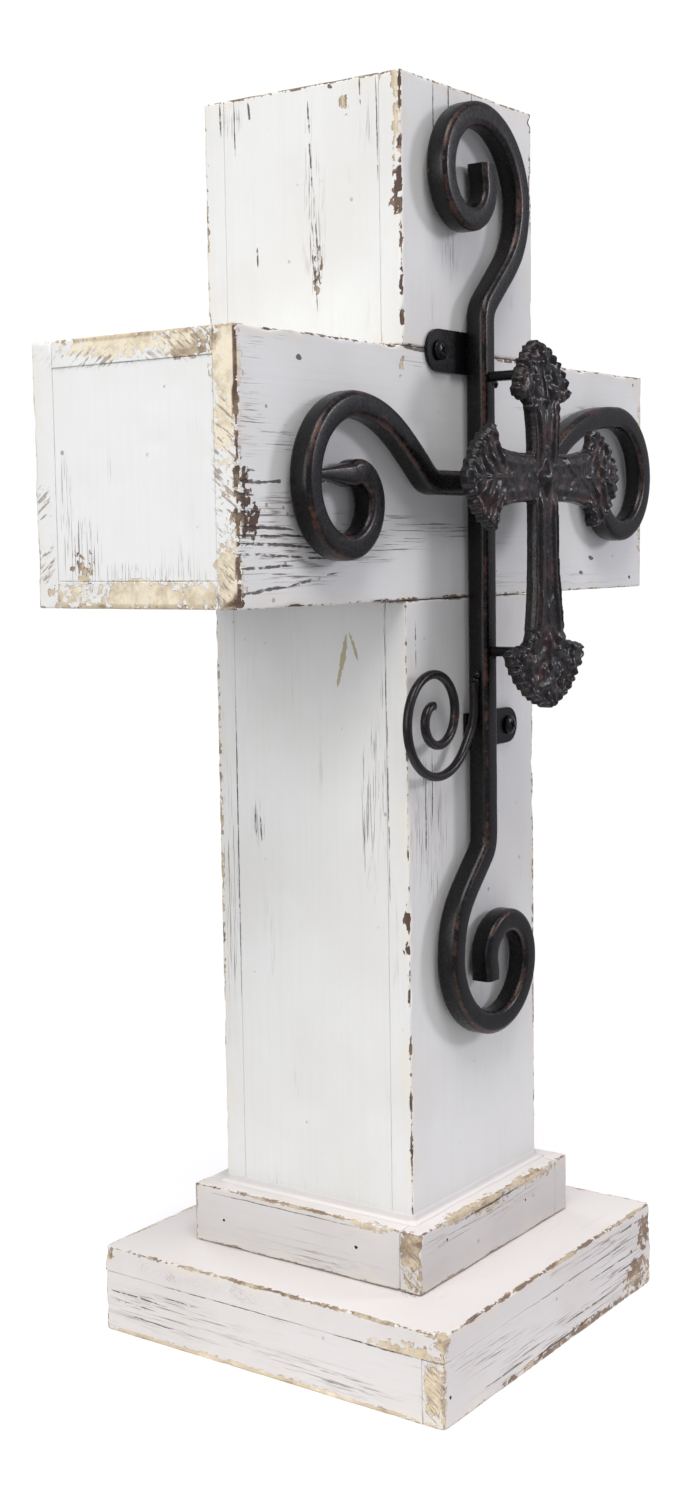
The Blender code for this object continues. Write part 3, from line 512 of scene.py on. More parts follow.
            ((90.5, 0, 38.4), (2.4, 92, 1.6), (1.0, 0.4)), ((0, 89, 38.4), (92, 2.4, 1.6), (1.0, 0.4))],
        "dry": [
            ((20, -89, 6), (76, 5, 8), 1.1), ((-90.5, 46, 14), (5, 44, 9), 0.9), ((-90.5, -30, 9), (5, 50, 7), 0.6),
            ((62, -89, 18), (26, 5, 14), 0.9), ((-50, -89, 18), (34, 5, 10), 0.5), ((30, -89, 33), (50, 5, 4), 0.7),
            ((-62, 0, 46), (5, 60, 6), 0.4), ((0, -60, 57), (50, 5, 4), 0.6), ((90.5, 0, 12), (5, 70, 9), 0.8),
            ((0, 89, 12), (70, 5, 9), 0.8), ((-90.5, 30, 33), (5, 50, 3), 0.5)],
        "sawn": [((-90.5, -84, 14), (4, 6, 14), 0.7), ((-62, -55, 50), (4, 5, 14), 1.0)],
        "chips": [
            ((-90.5, -89, 36), (4.6, 4.6, 4.6)), ((-90.5, -89, 12), (1.5, 1.5, 5.8)),
            ((-90.5, 89, 36), (2.5, 5.8, 2.5)), ((-62, -60, 62), (1.9, 1.9, 4.6)),
            ((0, -89, 38.4), (6.9, 1.9, 1.0)), ((70, -89, 38.4), (10.3, 1.9, 1.4)),
            ((-40, -89, 38.4), (6.9, 1.9, 1.0)), ((90.5, -89, 30), (1.9, 1.9, 9.2)),
            ((30, -60, 64.5), (9.2, 1.9, 1.2)), ((-90.5, -60, 38.4), (1.9, 9.2, 1.1)),
            ((-90.5, -20, 38.4), (1.9, 5.8, 0.9))],
    },
}


paintFinish = {"rough": 0.62, "bareRougher": 0.14, "shine": 0.28, "bumpDepth": 0.22 * mm, "bump": 0.9,
               "sawAngle": math.radians(38)}


def lineMarks(tree, place, shake, ragged, marks):
    # the deepest of these lines at each point
    deepest = None
    for start, end, width, wobble in marks:
        line = useGroup(tree, crackLine, Place=place, Shake=shake, Ragged=ragged,
                        Start=tuple(v * mm for v in start), End=tuple(v * mm for v in end),
                        Width=width * mm, Wobble=wobble * mm)["Mask"]
        deepest = line if deepest is None else calc(tree, "MAXIMUM", deepest, line)
    return deepest


def makePaint(name, look):
    material, tree, shader = newMaterial(name)
    place = tree.nodes.new("ShaderNodeTexCoord").outputs["Object"]
    grain = attribute(tree, "grainPlace", "Vector")
    white, shade = look["white"], look["shade"]
    # upward faces blend to the lighter top white: painted light on the tops, and the sides keep the darker
    # painted-shade copy
    if "topLitWhite" in look:
        facing = put(tree, "ShaderNodeSeparateXYZ", Vector=tree.nodes.new("ShaderNodeTexCoord").outputs["Normal"])
        upward = fade(tree, facing.outputs["Z"], 0.6, 0.9)
        white, shade = (blendColour(tree, upward, sides, look["topLitWhite"]) for sides in (white, shade))
    paint = useGroup(tree, chalkPaint, Place=place, Grain=grain, White=white, Shade=shade,
                     Streaks=look["streaks"], Dirt=look["dirt"], Dry=attribute(tree, "dry"))
    worn = useGroup(tree, wornEdge, Place=place, Grain=grain, Edge=attribute(tree, "edge"),
                    Bare=attribute(tree, "bare"), Width=look["wearWidth"], Amount=look["wearAmount"])
    wood = useGroup(tree, bareWood, Place=place, Grain=grain, Age=attribute(tree, "age"))
    # cracks and scrapes share one wobble, and cracks one set of gaps
    shake = put(tree, "ShaderNodeTexNoise", Vector=place, Scale=75.0, Detail=4.0).outputs["Color"]
    shake = vectorCalc(tree, "SUBTRACT", shake, (0.5, 0.5, 0.5))
    ragged = grainy(tree, place, (420, 420, 420), detail=2.0)
    gaps = fade(tree, grainy(tree, place, (170, 170, 170), detail=2.0), 0.34, 0.46)
    crack = calc(tree, "MULTIPLY", lineMarks(tree, place, shake, ragged, look["cracks"]), gaps)
    # paint is thinner, and creamier, towards the outer corners
    thin = grainy(tree, place, (48, 48, 48), detail=3.0)
    thin = calc(tree, "MULTIPLY_ADD", thin, 26.0, attribute(tree, "edge"))
    creamy = blendColour(tree, fade(tree, thin, 17.5, 12.0, 0.0, 0.24), paint["Colour"], markTones["cream"])
    colour = blendColour(tree, worn["Mask"], creamy, wood["Colour"])
    if "scrapes" in look:
        scrape = lineMarks(tree, place, shake, ragged, look["scrapes"])
        colour = blendColour(tree, calc(tree, "MULTIPLY", scrape, 0.88), colour, markTones["scrape"])
    rim = calc(tree, "MULTIPLY", worn["Rim"], fade(tree, attribute(tree, "age"), 0.1, 0.6, 0.12, 0.8))
    colour = blendColour(tree, rim, colour, markTones["rim"])
    # saw marks run slantwise over the cut ends
    slant = put(tree, "ShaderNodeMapping", {"vector_type": "POINT"}, Vector=vectorCalc(tree, "ABSOLUTE", place),
                Rotation=(paintFinish["sawAngle"], 0, 0))
    saw = grainy(tree, slant.outputs[0], (900, 150, 900), detail=3.0, roughness=0.6)
    saw = calc(tree, "MULTIPLY", fade(tree, saw, 0.53, 0.61), fade(tree, attribute(tree, "sawn"), 0.05, 0.5))
    colour = blendColour(tree, calc(tree, "MULTIPLY", saw, 0.8), colour, markTones["saw"])
    colour = blendColour(tree, calc(tree, "MULTIPLY", crack, 0.88), colour, markTones["crack"])
    wire(tree, shader.inputs["Base Color"], colour)
    rough = calc(tree, "MULTIPLY_ADD", worn["Mask"], paintFinish["bareRougher"], paintFinish["rough"])
    wire(tree, shader.inputs["Roughness"], rough)
    shader.inputs["Specular IOR Level"].default_value = paintFinish["shine"]
    woodHeight = calc(tree, "MULTIPLY_ADD", wood["Height"], 0.9, -1.3)
    height = put(tree, "ShaderNodeMix", {"data_type": "FLOAT"}, i0=worn["Mask"], i2=paint["Height"], i3=woodHeight)
    height = calc(tree, "SUBTRACT", height.outputs[0], calc(tree, "MULTIPLY", crack, 1.6))
    bumpInto(tree, shader, height, paintFinish["bumpDepth"], paintFinish["bump"])
    return material


# each group: its paint, its slot, and its boards with the axis that their grain runs along,
# 0 for x, 1 for y and 2 for z
boards = {
    "alongStep": 2.1 * mm, "acrossStep": 3.4 * mm,   # grid on the flats
    "edgeLines": (0, 0.35, 0.8, 1.4, 2.3, 3.6),      # grid lines in from each corner, in mm
    "jointRadius": 0.18 * mm, "cornerRadius": 0.75 * mm, "cornerSpread": 0.45 * mm, "chipRadius": 2.6 * mm,
    "leastRadius": 0.2 * mm, "mostRadius": 3.4 * mm, "gap": 0.3 * mm,
    "dip": 0.11 * mm, "dipAlong": 26 * mm, "dipAcross": 7 * mm,    # hollows of a hand-planed face
    "groups": {
        "upperPost": ("post", "post_paint", {"upper_post_front": 2, "upper_post_back": 2, "upper_post_left": 2,
                                             "upper_post_right": 2, "upper_post_cap": 0}),
        "lowerPost": ("post", "post_paint", {"lower_post_front": 2, "lower_post_back": 2, "lower_post_left": 2,
                                             "lower_post_right": 2}),
        "crossbar": ("crossbar", "crossbar_paint", {"crossbar_front": 0, "crossbar_back": 0, "crossbar_top": 0,
                                                    "crossbar_bottom": 0, "crossbar_end_left": 2,
                                                    "crossbar_end_right": 2}),
        "step": ("plinth", "plinth_paint", {"step_front": 0, "step_back": 0, "step_left": 1, "step_right": 1}),
        "base": ("plinth", "plinth_paint", {"base_front": 0, "base_back": 0, "base_left": 1, "base_right": 1,
                                            "base_top": 0}),
    },
}


def gridLines(low, high, step):
    lines = np.array(boards["edgeLines"]) * mm
    if high - low < 2 * lines[-1] + step:
        lines = lines[:-1] if high - low > 2 * lines[-2] else lines[:-2]
    count = max(1, round((high - low - 2 * lines[-1]) / step))
    middle = np.linspace(low + lines[-1], high - lines[-1], count + 1)
    return np.concatenate([low + lines[:-1], middle, (high - lines[:-1])[::-1]])


def boxShell(xs, ys, zs):
    # the surface points and outward quads of a box cut by these grid lines
    shell = np.zeros((len(xs), len(ys), len(zs)), bool)
    shell[[0, -1]] = shell[:, [0, -1]] = shell[:, :, [0, -1]] = True
    index = np.full(shell.shape, -1)
    index[shell] = np.arange(shell.sum())
    i, j, k = np.nonzero(shell)
    faces = []
    for sheet, flip in ((index[0], 1), (index[-1], 0), (index[:, 0], 0), (index[:, -1], 1),
                        (index[:, :, 0], 1), (index[:, :, -1], 0)):
        quads = np.stack([sheet[:-1, :-1], sheet[1:, :-1], sheet[1:, 1:], sheet[:-1, 1:]], -1).reshape(-1, 4)
        faces.append(quads[:, ::-1] if flip else quads)
    return np.stack([xs[i], ys[j], zs[k]], 1), np.concatenate(faces)


def cornerDistance(points, low, high):
    # how far each point is from the nearest corner line of this box
    sides = np.sort(np.minimum(points - low, high - points), axis=1)
    return np.hypot(np.maximum(sides[:, 0], 0), np.maximum(sides[:, 1], 0))


def markField(points, marks):
    # one at the middle of a mark, nothing outside it, times its strength
    field = np.zeros(len(points))
    for centre, half, *rest in marks:
        strength = np.ravel(rest)[0] if rest else 1
        away = np.linalg.norm((points - np.array(centre) * mm) / (np.array(half) * mm), axis=1)
        field = np.maximum(field, strength * np.clip(1.35 - away, 0, 1))
    return field


def makeBoard(name, grainAxis, groupLow, groupHigh, look, material, seed):
    low, high = (np.array(corner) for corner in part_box(name))
    steps = [boards["alongStep"] if axis == grainAxis else boards["acrossStep"] for axis in range(3)]
    points, faces = boxShell(*(gridLines(low[a], high[a], steps[a]) for a in range(3)))
    edge = cornerDistance(points, groupLow, groupHigh)
    ragged = 0.55 * softNoise(points, 2.6 * mm, seed + 3) + 0.35 * softNoise(points, 5.5 * mm, seed + 5)
    chip = markField(points, look["chips"])
    chip = np.clip(chip + ragged * smooth(0, 0.3, chip), 0, 1)
    # outer corners are rounded by wear and knocked back at the chips, joints stay tight
    outer = smooth(6.0 * mm, 2.5 * mm, edge)
    radius = boards["cornerRadius"] + boards["cornerSpread"] * softNoise(points, 9 * mm, seed)
    nick = smooth(0.35, 0.75, softNoise(points, 5 * mm, seed + 1))
    radius = radius + boards["chipRadius"] * np.maximum(chip, 0.38 * nick)
    filled = smooth(-0.72, -0.32, softNoise(points, 7 * mm, seed + 2))
    tight = boards["jointRadius"] * (1 - 0.8 * filled)
    radius = tight + (np.clip(radius, boards["leastRadius"], boards["mostRadius"]) - tight) * outer
    inner = np.clip(points, low + radius[:, None], high - radius[:, None])
    away = points - inner
    normal = away / np.maximum(np.linalg.norm(away, axis=1, keepdims=True), 1e-9)
    shaped = inner + normal * radius[:, None]
    # the paint bridges most of each joint, so the boards meet there
    for axis in range(3):
        for face, sign, limit in ((low[axis], -1, groupLow[axis]), (high[axis], 1, groupHigh[axis])):
            if abs(face - limit) > 1e-5:
                shaped[:, axis] += sign * boards["gap"] / 2 * filled * (np.abs(points[:, axis] - face) < 1e-6)
    stretch = [boards["dipAlong"] if axis == grainAxis else boards["dipAcross"] for axis in range(3)]
    shaped -= normal * (boards["dip"] * (0.5 + 0.5 * softNoise(points, stretch, seed + 4)))[:, None]
    obj = meshObject(name + "_painted", shaped, faces, material)
    # the grain runs along z in its own place, and starts elsewhere in each board
    order = [axis for axis in range(3) if axis != grainAxis] + [grainAxis]
    grainPlace = points[:, order] + np.random.default_rng(seed).random(3) * 0.7
    age = np.full(len(points), look["age"])
    for centre, half, (_, itsAge) in look["patches"]:
        age = np.where(markField(points, [(centre, half)]) > 0.12, itsAge, age)
    flaked = 1.25 * chip
    age = np.where(flaked > 0.15, look["chipAge"], age)
    setAttribute(obj.data, "grainPlace", grainPlace)
    setAttribute(obj.data, "edge", edge / mm)
    setAttribute(obj.data, "bare", np.maximum(markField(points, look["patches"]), flaked))
    setAttribute(obj.data, "age", age)
    setAttribute(obj.data, "sawn", markField(points, look.get("sawn", ())))
    setAttribute(obj.data, "dry", markField(points, look["dry"]))
    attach(obj, "root")
    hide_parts(name)
    return len(faces)


boardFaces = 0
for order, (lookName, slot, members) in enumerate(boards["groups"].values()):
    material = bpy.data.materials.get(lookName + "Paint") or makePaint(lookName + "Paint", paints[lookName])
    groupLow = np.min([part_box(member)[0] for member in members], axis=0)
    groupHigh = np.max([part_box(member)[1] for member in members], axis=0)
    for number, (member, grainAxis) in enumerate(members.items()):
        boardFaces += makeBoard(member, grainAxis, groupLow, groupHigh, paints[lookName], material,
                                100 * order + 10 * number + 1)
print("boards made, faces:", boardFaces)


# filler along the foot of the post
caulk = {"rise": 3.4 * mm, "spread": 3.2 * mm, "step": 1.6 * mm, "rough": 0.35 * mm, "sink": 0.8 * mm}


def makeCaulk():
    low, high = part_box("lower_post_front")[0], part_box("lower_post_back")[1]
    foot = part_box("step_front")[1][2]
    corners = [(low[0], low[1]), (high[0], low[1]), (high[0], high[1]), (low[0], high[1])]
    ring, outward = [], []
    for (x0, y0), (x1, y1) in zip(corners, corners[1:] + corners[:1]):
        count = max(2, round(math.hypot(x1 - x0, y1 - y0) / caulk["step"]))
        normal = np.array([y1 - y0, x0 - x1]) / math.hypot(x1 - x0, y1 - y0)
        for share in np.arange(count) / count:
            ring.append((x0 + (x1 - x0) * share, y0 + (y1 - y0) * share))
            outward.append(normal)
    # a corner's point moves out along both of its sides
    outward = np.array(outward)
    before = np.roll(outward, 1, axis=0)
    outward = np.where(np.abs(outward - before) > 0.5, outward + before, outward)
    ring = np.column_stack([np.array(ring), np.full(len(ring), foot)])
    rise = caulk["rise"] + caulk["rough"] * softNoise(ring, 6 * mm, 71)
    spread = caulk["spread"] + caulk["rough"] * softNoise(ring, 8 * mm, 72)
    # hidden back corner, top on the post, three points of the hollow, toe on the step, hidden toe
    profile = [(-caulk["sink"], -caulk["sink"]), (-caulk["sink"], 1.0), (0.02, 1.0), (0.12, 0.52), (0.33, 0.25),
               (0.62, 0.09), (1.0, 0.02), (1.0, -caulk["sink"])]
    rows = []
    for out, up in profile:
        point = ring.copy()
        point[:, :2] += outward * (np.full(len(ring), out) if out < 0 else spread * out)[:, None]
        point[:, 2] += up if up < 0 else rise * up
        rows.append(point)
    points = np.concatenate(rows)
    faces = ringQuads(len(profile), len(ring), closed=True)[:, ::-1]
    obj = meshObject("post_foot_filler", points, faces, bpy.data.materials["plinthPaint"])
    fixFaces(obj)
    setAttribute(obj.data, "grainPlace", points)
    for label, value in (("edge", 30), ("bare", 0), ("dry", 0), ("age", 0.4), ("sawn", 0)):
        setAttribute(obj.data, label, np.full(len(points), value))
    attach(obj, "root")


makeCaulk()


# iron finishes
ironTones = {"prick": (0.20, 0.085, 0.045), "sheen": (0.038, 0.037, 0.043)}


def makeRustMottle():
    # satin black worn to brown on the corners, with rust pricks and a dusting of small pits
    tree, given, out = shaderGroup("rustMottle", [
        ("Place", "vector", None), ("Rub", "value", 0.0), ("Black", "colour", (0.014, 0.012, 0.0125, 1)),
        ("Brown", "colour", (0.085, 0.036, 0.022, 1)), ("Amount", "value", 0.5), ("Pits", "value", 0.5)],
        [("Colour", "colour"), ("Roughness", "value"), ("Height", "value")])
    cloud = grainy(tree, given["Place"], (85, 85, 85), detail=5.0, roughness=0.62)
    fine = grainy(tree, given["Place"], (520, 520, 520), detail=4.0, roughness=0.65)
    grit = grainy(tree, given["Place"], (1500, 1500, 1500), detail=2.0)
    push = calc(tree, "MULTIPLY", given["Amount"], 0.12)
    push = calc(tree, "ADD", calc(tree, "MULTIPLY", given["Rub"], 0.26), push)
    rusty = calc(tree, "ADD", calc(tree, "MULTIPLY", cloud, 0.62), calc(tree, "MULTIPLY", fine, 0.38))
    rusty = calc(tree, "ADD", rusty, push)
    share = fade(tree, rusty, 0.62, 0.80)
    colour = blendColour(tree, calc(tree, "MULTIPLY", share, 0.85), given["Black"], given["Brown"])
    prick = calc(tree, "MULTIPLY", fade(tree, fine, 0.66, 0.73), calc(tree, "ADD", share, 0.25), clamp=True)
    colour = blendColour(tree, calc(tree, "MULTIPLY", prick, 0.7), colour, ironTones["prick"])
    wire(tree, out["Colour"], colour)
    rough = calc(tree, "ADD", calc(tree, "MULTIPLY", share, 0.16), calc(tree, "MULTIPLY_ADD", fine, 0.36, 0.12))
    wire(tree, out["Roughness"], rough)
    pit = calc(tree, "MULTIPLY", fade(tree, grit, 0.60, 0.72), given["Pits"])
    height = calc(tree, "SUBTRACT", calc(tree, "MULTIPLY", cloud, 0.8), calc(tree, "MULTIPLY", pit, 0.5))
    wire(tree, out["Height"], height)
    return tree


rustMottle = makeRustMottle()

# depth is the bump's, in mm; rub names the attribute that brings out the brown
irons = {
    "wroughtIron": {"black": (0.0032, 0.0027, 0.0028, 1), "brown": (0.070, 0.031, 0.021, 1), "amount": 0.42,
                    "pits": 0.5, "metal": 0.25, "depth": 0.16, "rub": "rub", "shine": 0.34},
    "wireIron": {"black": (0.0085, 0.0065, 0.0065, 1), "brown": (0.060, 0.027, 0.018, 1), "amount": 0.6,
                 "pits": 0.6, "metal": 0.25, "depth": 0.12, "rub": None, "shine": 0.36},
    "fixingIron": {"black": (0.0055, 0.0050, 0.0056, 1), "brown": (0.03, 0.018, 0.014, 1), "amount": 0.0,
                   "pits": 0.3, "metal": 0.3, "depth": 0.08, "rub": None, "shine": 0.27},
    "castIron": {"black": (0.0042, 0.0034, 0.0035, 1), "brown": (0.046, 0.019, 0.013, 1), "amount": 0.6,
                 "pits": 0.9, "metal": 0.35, "depth": 0.22, "rub": "hollow", "shine": 0.46},
}


def makeIron(name):
    look = irons[name]
    material, tree, shader = newMaterial(name)
    place = tree.nodes.new("ShaderNodeTexCoord").outputs["Object"]
    rub = attribute(tree, look["rub"]) if look["rub"] else 0.0
    rust = calc(tree, "MULTIPLY", rub, 0.6) if name == "castIron" else rub
    finish = useGroup(tree, rustMottle, Place=place, Rub=rust, Black=look["black"], Brown=look["brown"],
                      Amount=look["amount"], Pits=look["pits"])
    colour = finish["Colour"]
    if name == "castIron":
        # raised parts get a painted blue-grey highlight, and the hollows keep the dark and the rust
        high = fade(tree, rub, 0.42, 0.05)
        colour = blendColour(tree, calc(tree, "MULTIPLY", high, 0.2), colour, ironTones["sheen"])
    wire(tree, shader.inputs["Base Color"], colour)
    wire(tree, shader.inputs["Roughness"], finish["Roughness"])
    shader.inputs["Metallic"].default_value = look["metal"]
    shader.inputs["Specular IOR Level"].default_value = look["shine"]
    bumpInto(tree, shader, finish["Height"], look["depth"] * mm)
    return material


iron = {name: makeIron(name) for name in irons}


# geometry trees
def geometryTree(name, inputs):
    tree = bpy.data.node_groups.new(name, "GeometryNodeTree")
    tree.interface.new_socket("Geometry", in_out="INPUT", socket_type="NodeSocketGeometry")
    kinds = {"length": "NodeSocketFloat", "count": "NodeSocketInt", "material": "NodeSocketMaterial"}
    for label, (kind, default) in inputs.items():
        socket = tree.interface.new_socket(label, in_out="INPUT", socket_type=kinds[kind])
        if default is not None:
            socket.default_value = default
    tree.interface.new_socket("Geometry", in_out="OUTPUT", socket_type="NodeSocketGeometry")
    return tree, tree.nodes.new("NodeGroupInput").outputs, tree.nodes.new("NodeGroupOutput").inputs


def runTree(name, points, edges, tree, values, attributes):
    # a wire of points goes through the tree and comes back as a plain mesh
    mesh = bpy.data.meshes.new(name + "_route")
    mesh.from_pydata([tuple(point) for point in points], edges, [])
    for label, numbers in attributes.items():
        setAttribute(mesh, label, numbers)
    maker = addObject(name + "_maker", mesh)
    modifier = maker.modifiers.new("make", "NODES")
    modifier.node_group = tree
    for item in tree.interface.items_tree:
        if item.item_type == "SOCKET" and item.in_out == "INPUT" and item.name in values:
            modifier[item.identifier] = values[item.name]
    graph = bpy.context.evaluated_depsgraph_get()
    made = bpy.data.meshes.new_from_object(maker.evaluated_get(graph), preserve_all_data_layers=True, depsgraph=graph)
    maker.modifiers.remove(modifier)
    bpy.data.objects.remove(maker)
    made.name = name
    return addObject(name, made)


def makeForgedBarTree():
    # sweeps a square bar with rounded corners along the wire; girth thins it, rub is one on its corners
    tree, given, out = geometryTree("forgedBar", {
        "Width": ("length", 0.010), "Corner": ("length", 0.0021), "Corner Points": ("count", 4),
        "Step": ("length", 0.0012), "Hammering": ("length", 0.0001), "Iron": ("material", None)})
    curve = put(tree, "GeometryNodeMeshToCurve", Mesh=given["Geometry"]).outputs[0]
    girth = put(tree, "GeometryNodeInputNamedAttribute", {"data_type": "FLOAT"}, Name="girth").outputs[0]
    curve = put(tree, "GeometryNodeSetCurveRadius", Curve=curve, Radius=girth).outputs[0]
    spaced = put(tree, "GeometryNodeResampleCurve", {"mode": "LENGTH"}, Curve=curve, Length=given["Step"])
    square = put(tree, "GeometryNodeCurvePrimitiveQuadrilateral", {"mode": "RECTANGLE"})
    wire(tree, square.inputs[0], given["Width"])
    wire(tree, square.inputs[1], given["Width"])
    profile = put(tree, "GeometryNodeFilletCurve", {"mode": "POLY"}, Curve=square.outputs[0],
                  Radius=given["Corner"], Count=given["Corner Points"])
    # points of the profile further out than its flats are on a corner
    position = tree.nodes.new("GeometryNodeInputPosition").outputs[0]
    flat = calc(tree, "MULTIPLY", given["Width"], 0.575)
    beyond = calc(tree, "SUBTRACT", vectorCalc(tree, "LENGTH", position), flat)
    cornerness = calc(tree, "DIVIDE", beyond, calc(tree, "MULTIPLY", given["Width"], 0.045), clamp=True)
    marked = put(tree, "GeometryNodeStoreNamedAttribute", {"data_type": "FLOAT", "domain": "POINT"},
                 Geometry=profile.outputs[0], Name="rub", Value=cornerness)
    bar = put(tree, "GeometryNodeCurveToMesh", Curve=spaced.outputs[0], Profile_Curve=marked.outputs[0],
              Scale=put(tree, "GeometryNodeInputRadius").outputs[0], Fill_Caps=True)
    # hammering only sinks the faces
    dents = put(tree, "ShaderNodeTexNoise", Vector=position, Scale=120.0, Detail=2.0).outputs["Fac"]
    depth = calc(tree, "MULTIPLY", calc(tree, "MULTIPLY", dents, -1.6), given["Hammering"])
    push = vectorCalc(tree, "SCALE", tree.nodes.new("GeometryNodeInputNormal").outputs[0], depth)
    moved = put(tree, "GeometryNodeSetPosition", Geometry=bar.outputs[0], Offset=push)
    smoothed = put(tree, "GeometryNodeSetShadeSmooth", Geometry=moved.outputs[0], Shade_Smooth=True)
    real = put(tree, "GeometryNodeRealizeInstances", Geometry=smoothed.outputs[0])
    painted = put(tree, "GeometryNodeSetMaterial", Geometry=real.outputs[0], Material=given["Iron"])
    wire(tree, out[0], painted.outputs[0])
    return tree


def makeScatterTree():
    # lays one round lump on each point, turned to face along "facing" and sized by "size"
    tree, given, out = geometryTree("scatteredLumps", {
        "Radius": ("length", 0.001), "Flatness": ("length", 0.4), "Roughness": ("length", 0.1), "Seed": ("count", 3),
        "Finish": ("material", None)})
    lump = put(tree, "GeometryNodeMeshIcoSphere", Radius=given["Radius"], Subdivisions=4).outputs[0]
    position = tree.nodes.new("GeometryNodeInputPosition").outputs[0]
    squashed = put(tree, "ShaderNodeCombineXYZ", X=1.0, Y=1.0, Z=given["Flatness"]).outputs[0]
    shaped = vectorCalc(tree, "MULTIPLY", position, squashed)
    lump = put(tree, "GeometryNodeSetPosition", Geometry=lump, Position=shaped).outputs[0]
    facing = put(tree, "GeometryNodeInputNamedAttribute", {"data_type": "FLOAT_VECTOR"}, Name="facing").outputs[0]
    size = put(tree, "GeometryNodeInputNamedAttribute", {"data_type": "FLOAT"}, Name="size").outputs[0]
    turn = put(tree, "FunctionNodeAlignRotationToVector", {"axis": "Z"}, Vector=facing).outputs[0]
    dots = put(tree, "GeometryNodeMeshToPoints", Mesh=given["Geometry"]).outputs[0]
    placed = put(tree, "GeometryNodeInstanceOnPoints", Points=dots, Instance=lump, Rotation=turn, Scale=size)
    real = put(tree, "GeometryNodeRealizeInstances", Geometry=placed.outputs[0]).outputs[0]
    grit = put(tree, "ShaderNodeTexNoise", {"noise_dimensions": "4D"}, Vector=position, Scale=900.0, Detail=2.0,
               W=given["Seed"])
    push = calc(tree, "MULTIPLY", calc(tree, "SUBTRACT", grit.outputs["Fac"], 0.5), given["Roughness"])
    push = calc(tree, "MULTIPLY", push, given["Radius"])
    push = vectorCalc(tree, "SCALE", tree.nodes.new("GeometryNodeInputNormal").outputs[0], push)
    rough = put(tree, "GeometryNodeSetPosition", Geometry=real, Offset=push)
    smoothed = put(tree, "GeometryNodeSetShadeSmooth", Geometry=rough.outputs[0], Shade_Smooth=True)
    painted = put(tree, "GeometryNodeSetMaterial", Geometry=smoothed.outputs[0], Material=given["Finish"])
    wire(tree, out[0], painted.outputs[0])
    return tree


forgedBar = makeForgedBarTree()
scatteredLumps = makeScatterTree()

# wrought ironwork, on the same routes as the CAD; sizes are in metres
crossbarFoot, crossbarTop, plinthTop = 0.3240, 0.4250, 0.0645
ironwork = {
    "bar": 0.0100, "corner": 0.0026, "offCentre": -0.0038, "middleY": -0.0565, "gap": 0.0003, "coilStep": 4,
    "kneeAngle": math.radians(44), "kneeReach": 0.0060, "hammering": 0.11 * mm, "cornerPoints": 5, "step": 1.3 * mm,
    "endScroll": {"outer": 0.0363, "inner": 0.0084, "tail": 0.0045, "lift": 0.0065},
    "topScroll": {"across": -0.0064, "above": 0.0652, "knee": 0.0172},
    "bottomScroll": {"across": 0.0094, "above": 0.1061, "knee": 0.1535},
    "arm": {"above": 0.0470, "knee": 0.0420, "climb": math.radians(41.5)},
    "leftScroll": {"across": 0.0966, "rise": -0.0050, "outer": 0.0333, "inner": 0.0069, "turn": 360, "tail": 0.0200},
    "rightScroll": {"across": 0.1192, "rise": 0.0031, "outer": 0.0294, "inner": 0.0180, "turn": 300, "tail": 0.0040},
    "tip": 0.0026, "drawnOver": 0.024,    # the left scroll's narrowed end
    "wire": {"thick": 0.0038, "across": -0.0370, "below": 0.0481, "outer": 0.0262, "inner": 0.0054, "start": -38,
             "turn": -572, "lead": 0.0100, "leadAbove": 0.0125, "step": 0.9 * mm, "cornerShare": 0.42},
}


def at(x, z):
    return Vector((x, 0, z))


def polar(radius, degrees):
    return at(radius * math.cos(math.radians(degrees)), radius * math.sin(math.radians(degrees)))


def cubic(start, pullOut, pullIn, end, count):
    points = []
    for step in range(1, count + 1):
        t = step / count
        points.append(start * (1 - t) ** 3 + pullOut * 3 * t * (1 - t) ** 2
                      + pullIn * 3 * t * t * (1 - t) + end * t ** 3)
    return points


def coil(centre, start, turn, outer, inner, lift=0.0):
    count = max(1, round(abs(turn) / ironwork["coilStep"]))
    points = []
    for step in range(count + 1):
        share = step / count
        radius = outer + (inner - outer) * share
        points.append(centre + polar(radius, start + turn * share) + at(0, lift * share ** 2))
    return points


def knee(corner, before, after):
    start, end = corner - before * ironwork["kneeReach"], corner + after * ironwork["kneeReach"]
    return [start] + cubic(start, start.lerp(corner, 0.8), end.lerp(corner, 0.8), end, 10)


def endScroll(corner, up, side, centre):
    size = ironwork["endScroll"]
    before, angle = at(0, up), ironwork["kneeAngle"]
    after = at(side * math.sin(angle), up * math.cos(angle))
    route = knee(corner, before, after)
    start, pull = centre + at(side * size["outer"], 0), 0.62 * size["outer"]
    route += cubic(route[-1], route[-1] + after * pull, start - before * pull, start, 18)
    route += coil(centre, 0 if side > 0 else 180, side * up * 360, size["outer"], size["inner"],
                  up * size["lift"])[1:]
    return route + [route[-1] + before * size["tail"]]


def sideScroll(side, size):
    arm = ironwork["arm"]
    armZ = crossbarFoot + arm["above"]
    foot, corner = at(side * (ironwork["bar"] / 2 + ironwork["gap"]), armZ), at(side * arm["knee"], armZ)
    level, climb = at(side, 0), at(side * math.cos(arm["climb"]), math.sin(arm["climb"]))
    route = [foot] + knee(corner, level, climb)
    centre = at(side * size["across"], armZ + size["rise"])
    top = centre + at(0, size["outer"])
    reach = abs(top.x - corner.x)
    route += cubic(route[-1], route[-1] + climb * 0.45 * reach, top - level * 0.36 * reach, top, 24)
    route += coil(centre, 90, -side * size["turn"], size["outer"], size["inner"])[1:]
    inward = polar(1, 90 - side * size["turn"])
    return route + [route[-1] + at(inward.z, -inward.x) * (side * size["tail"])]


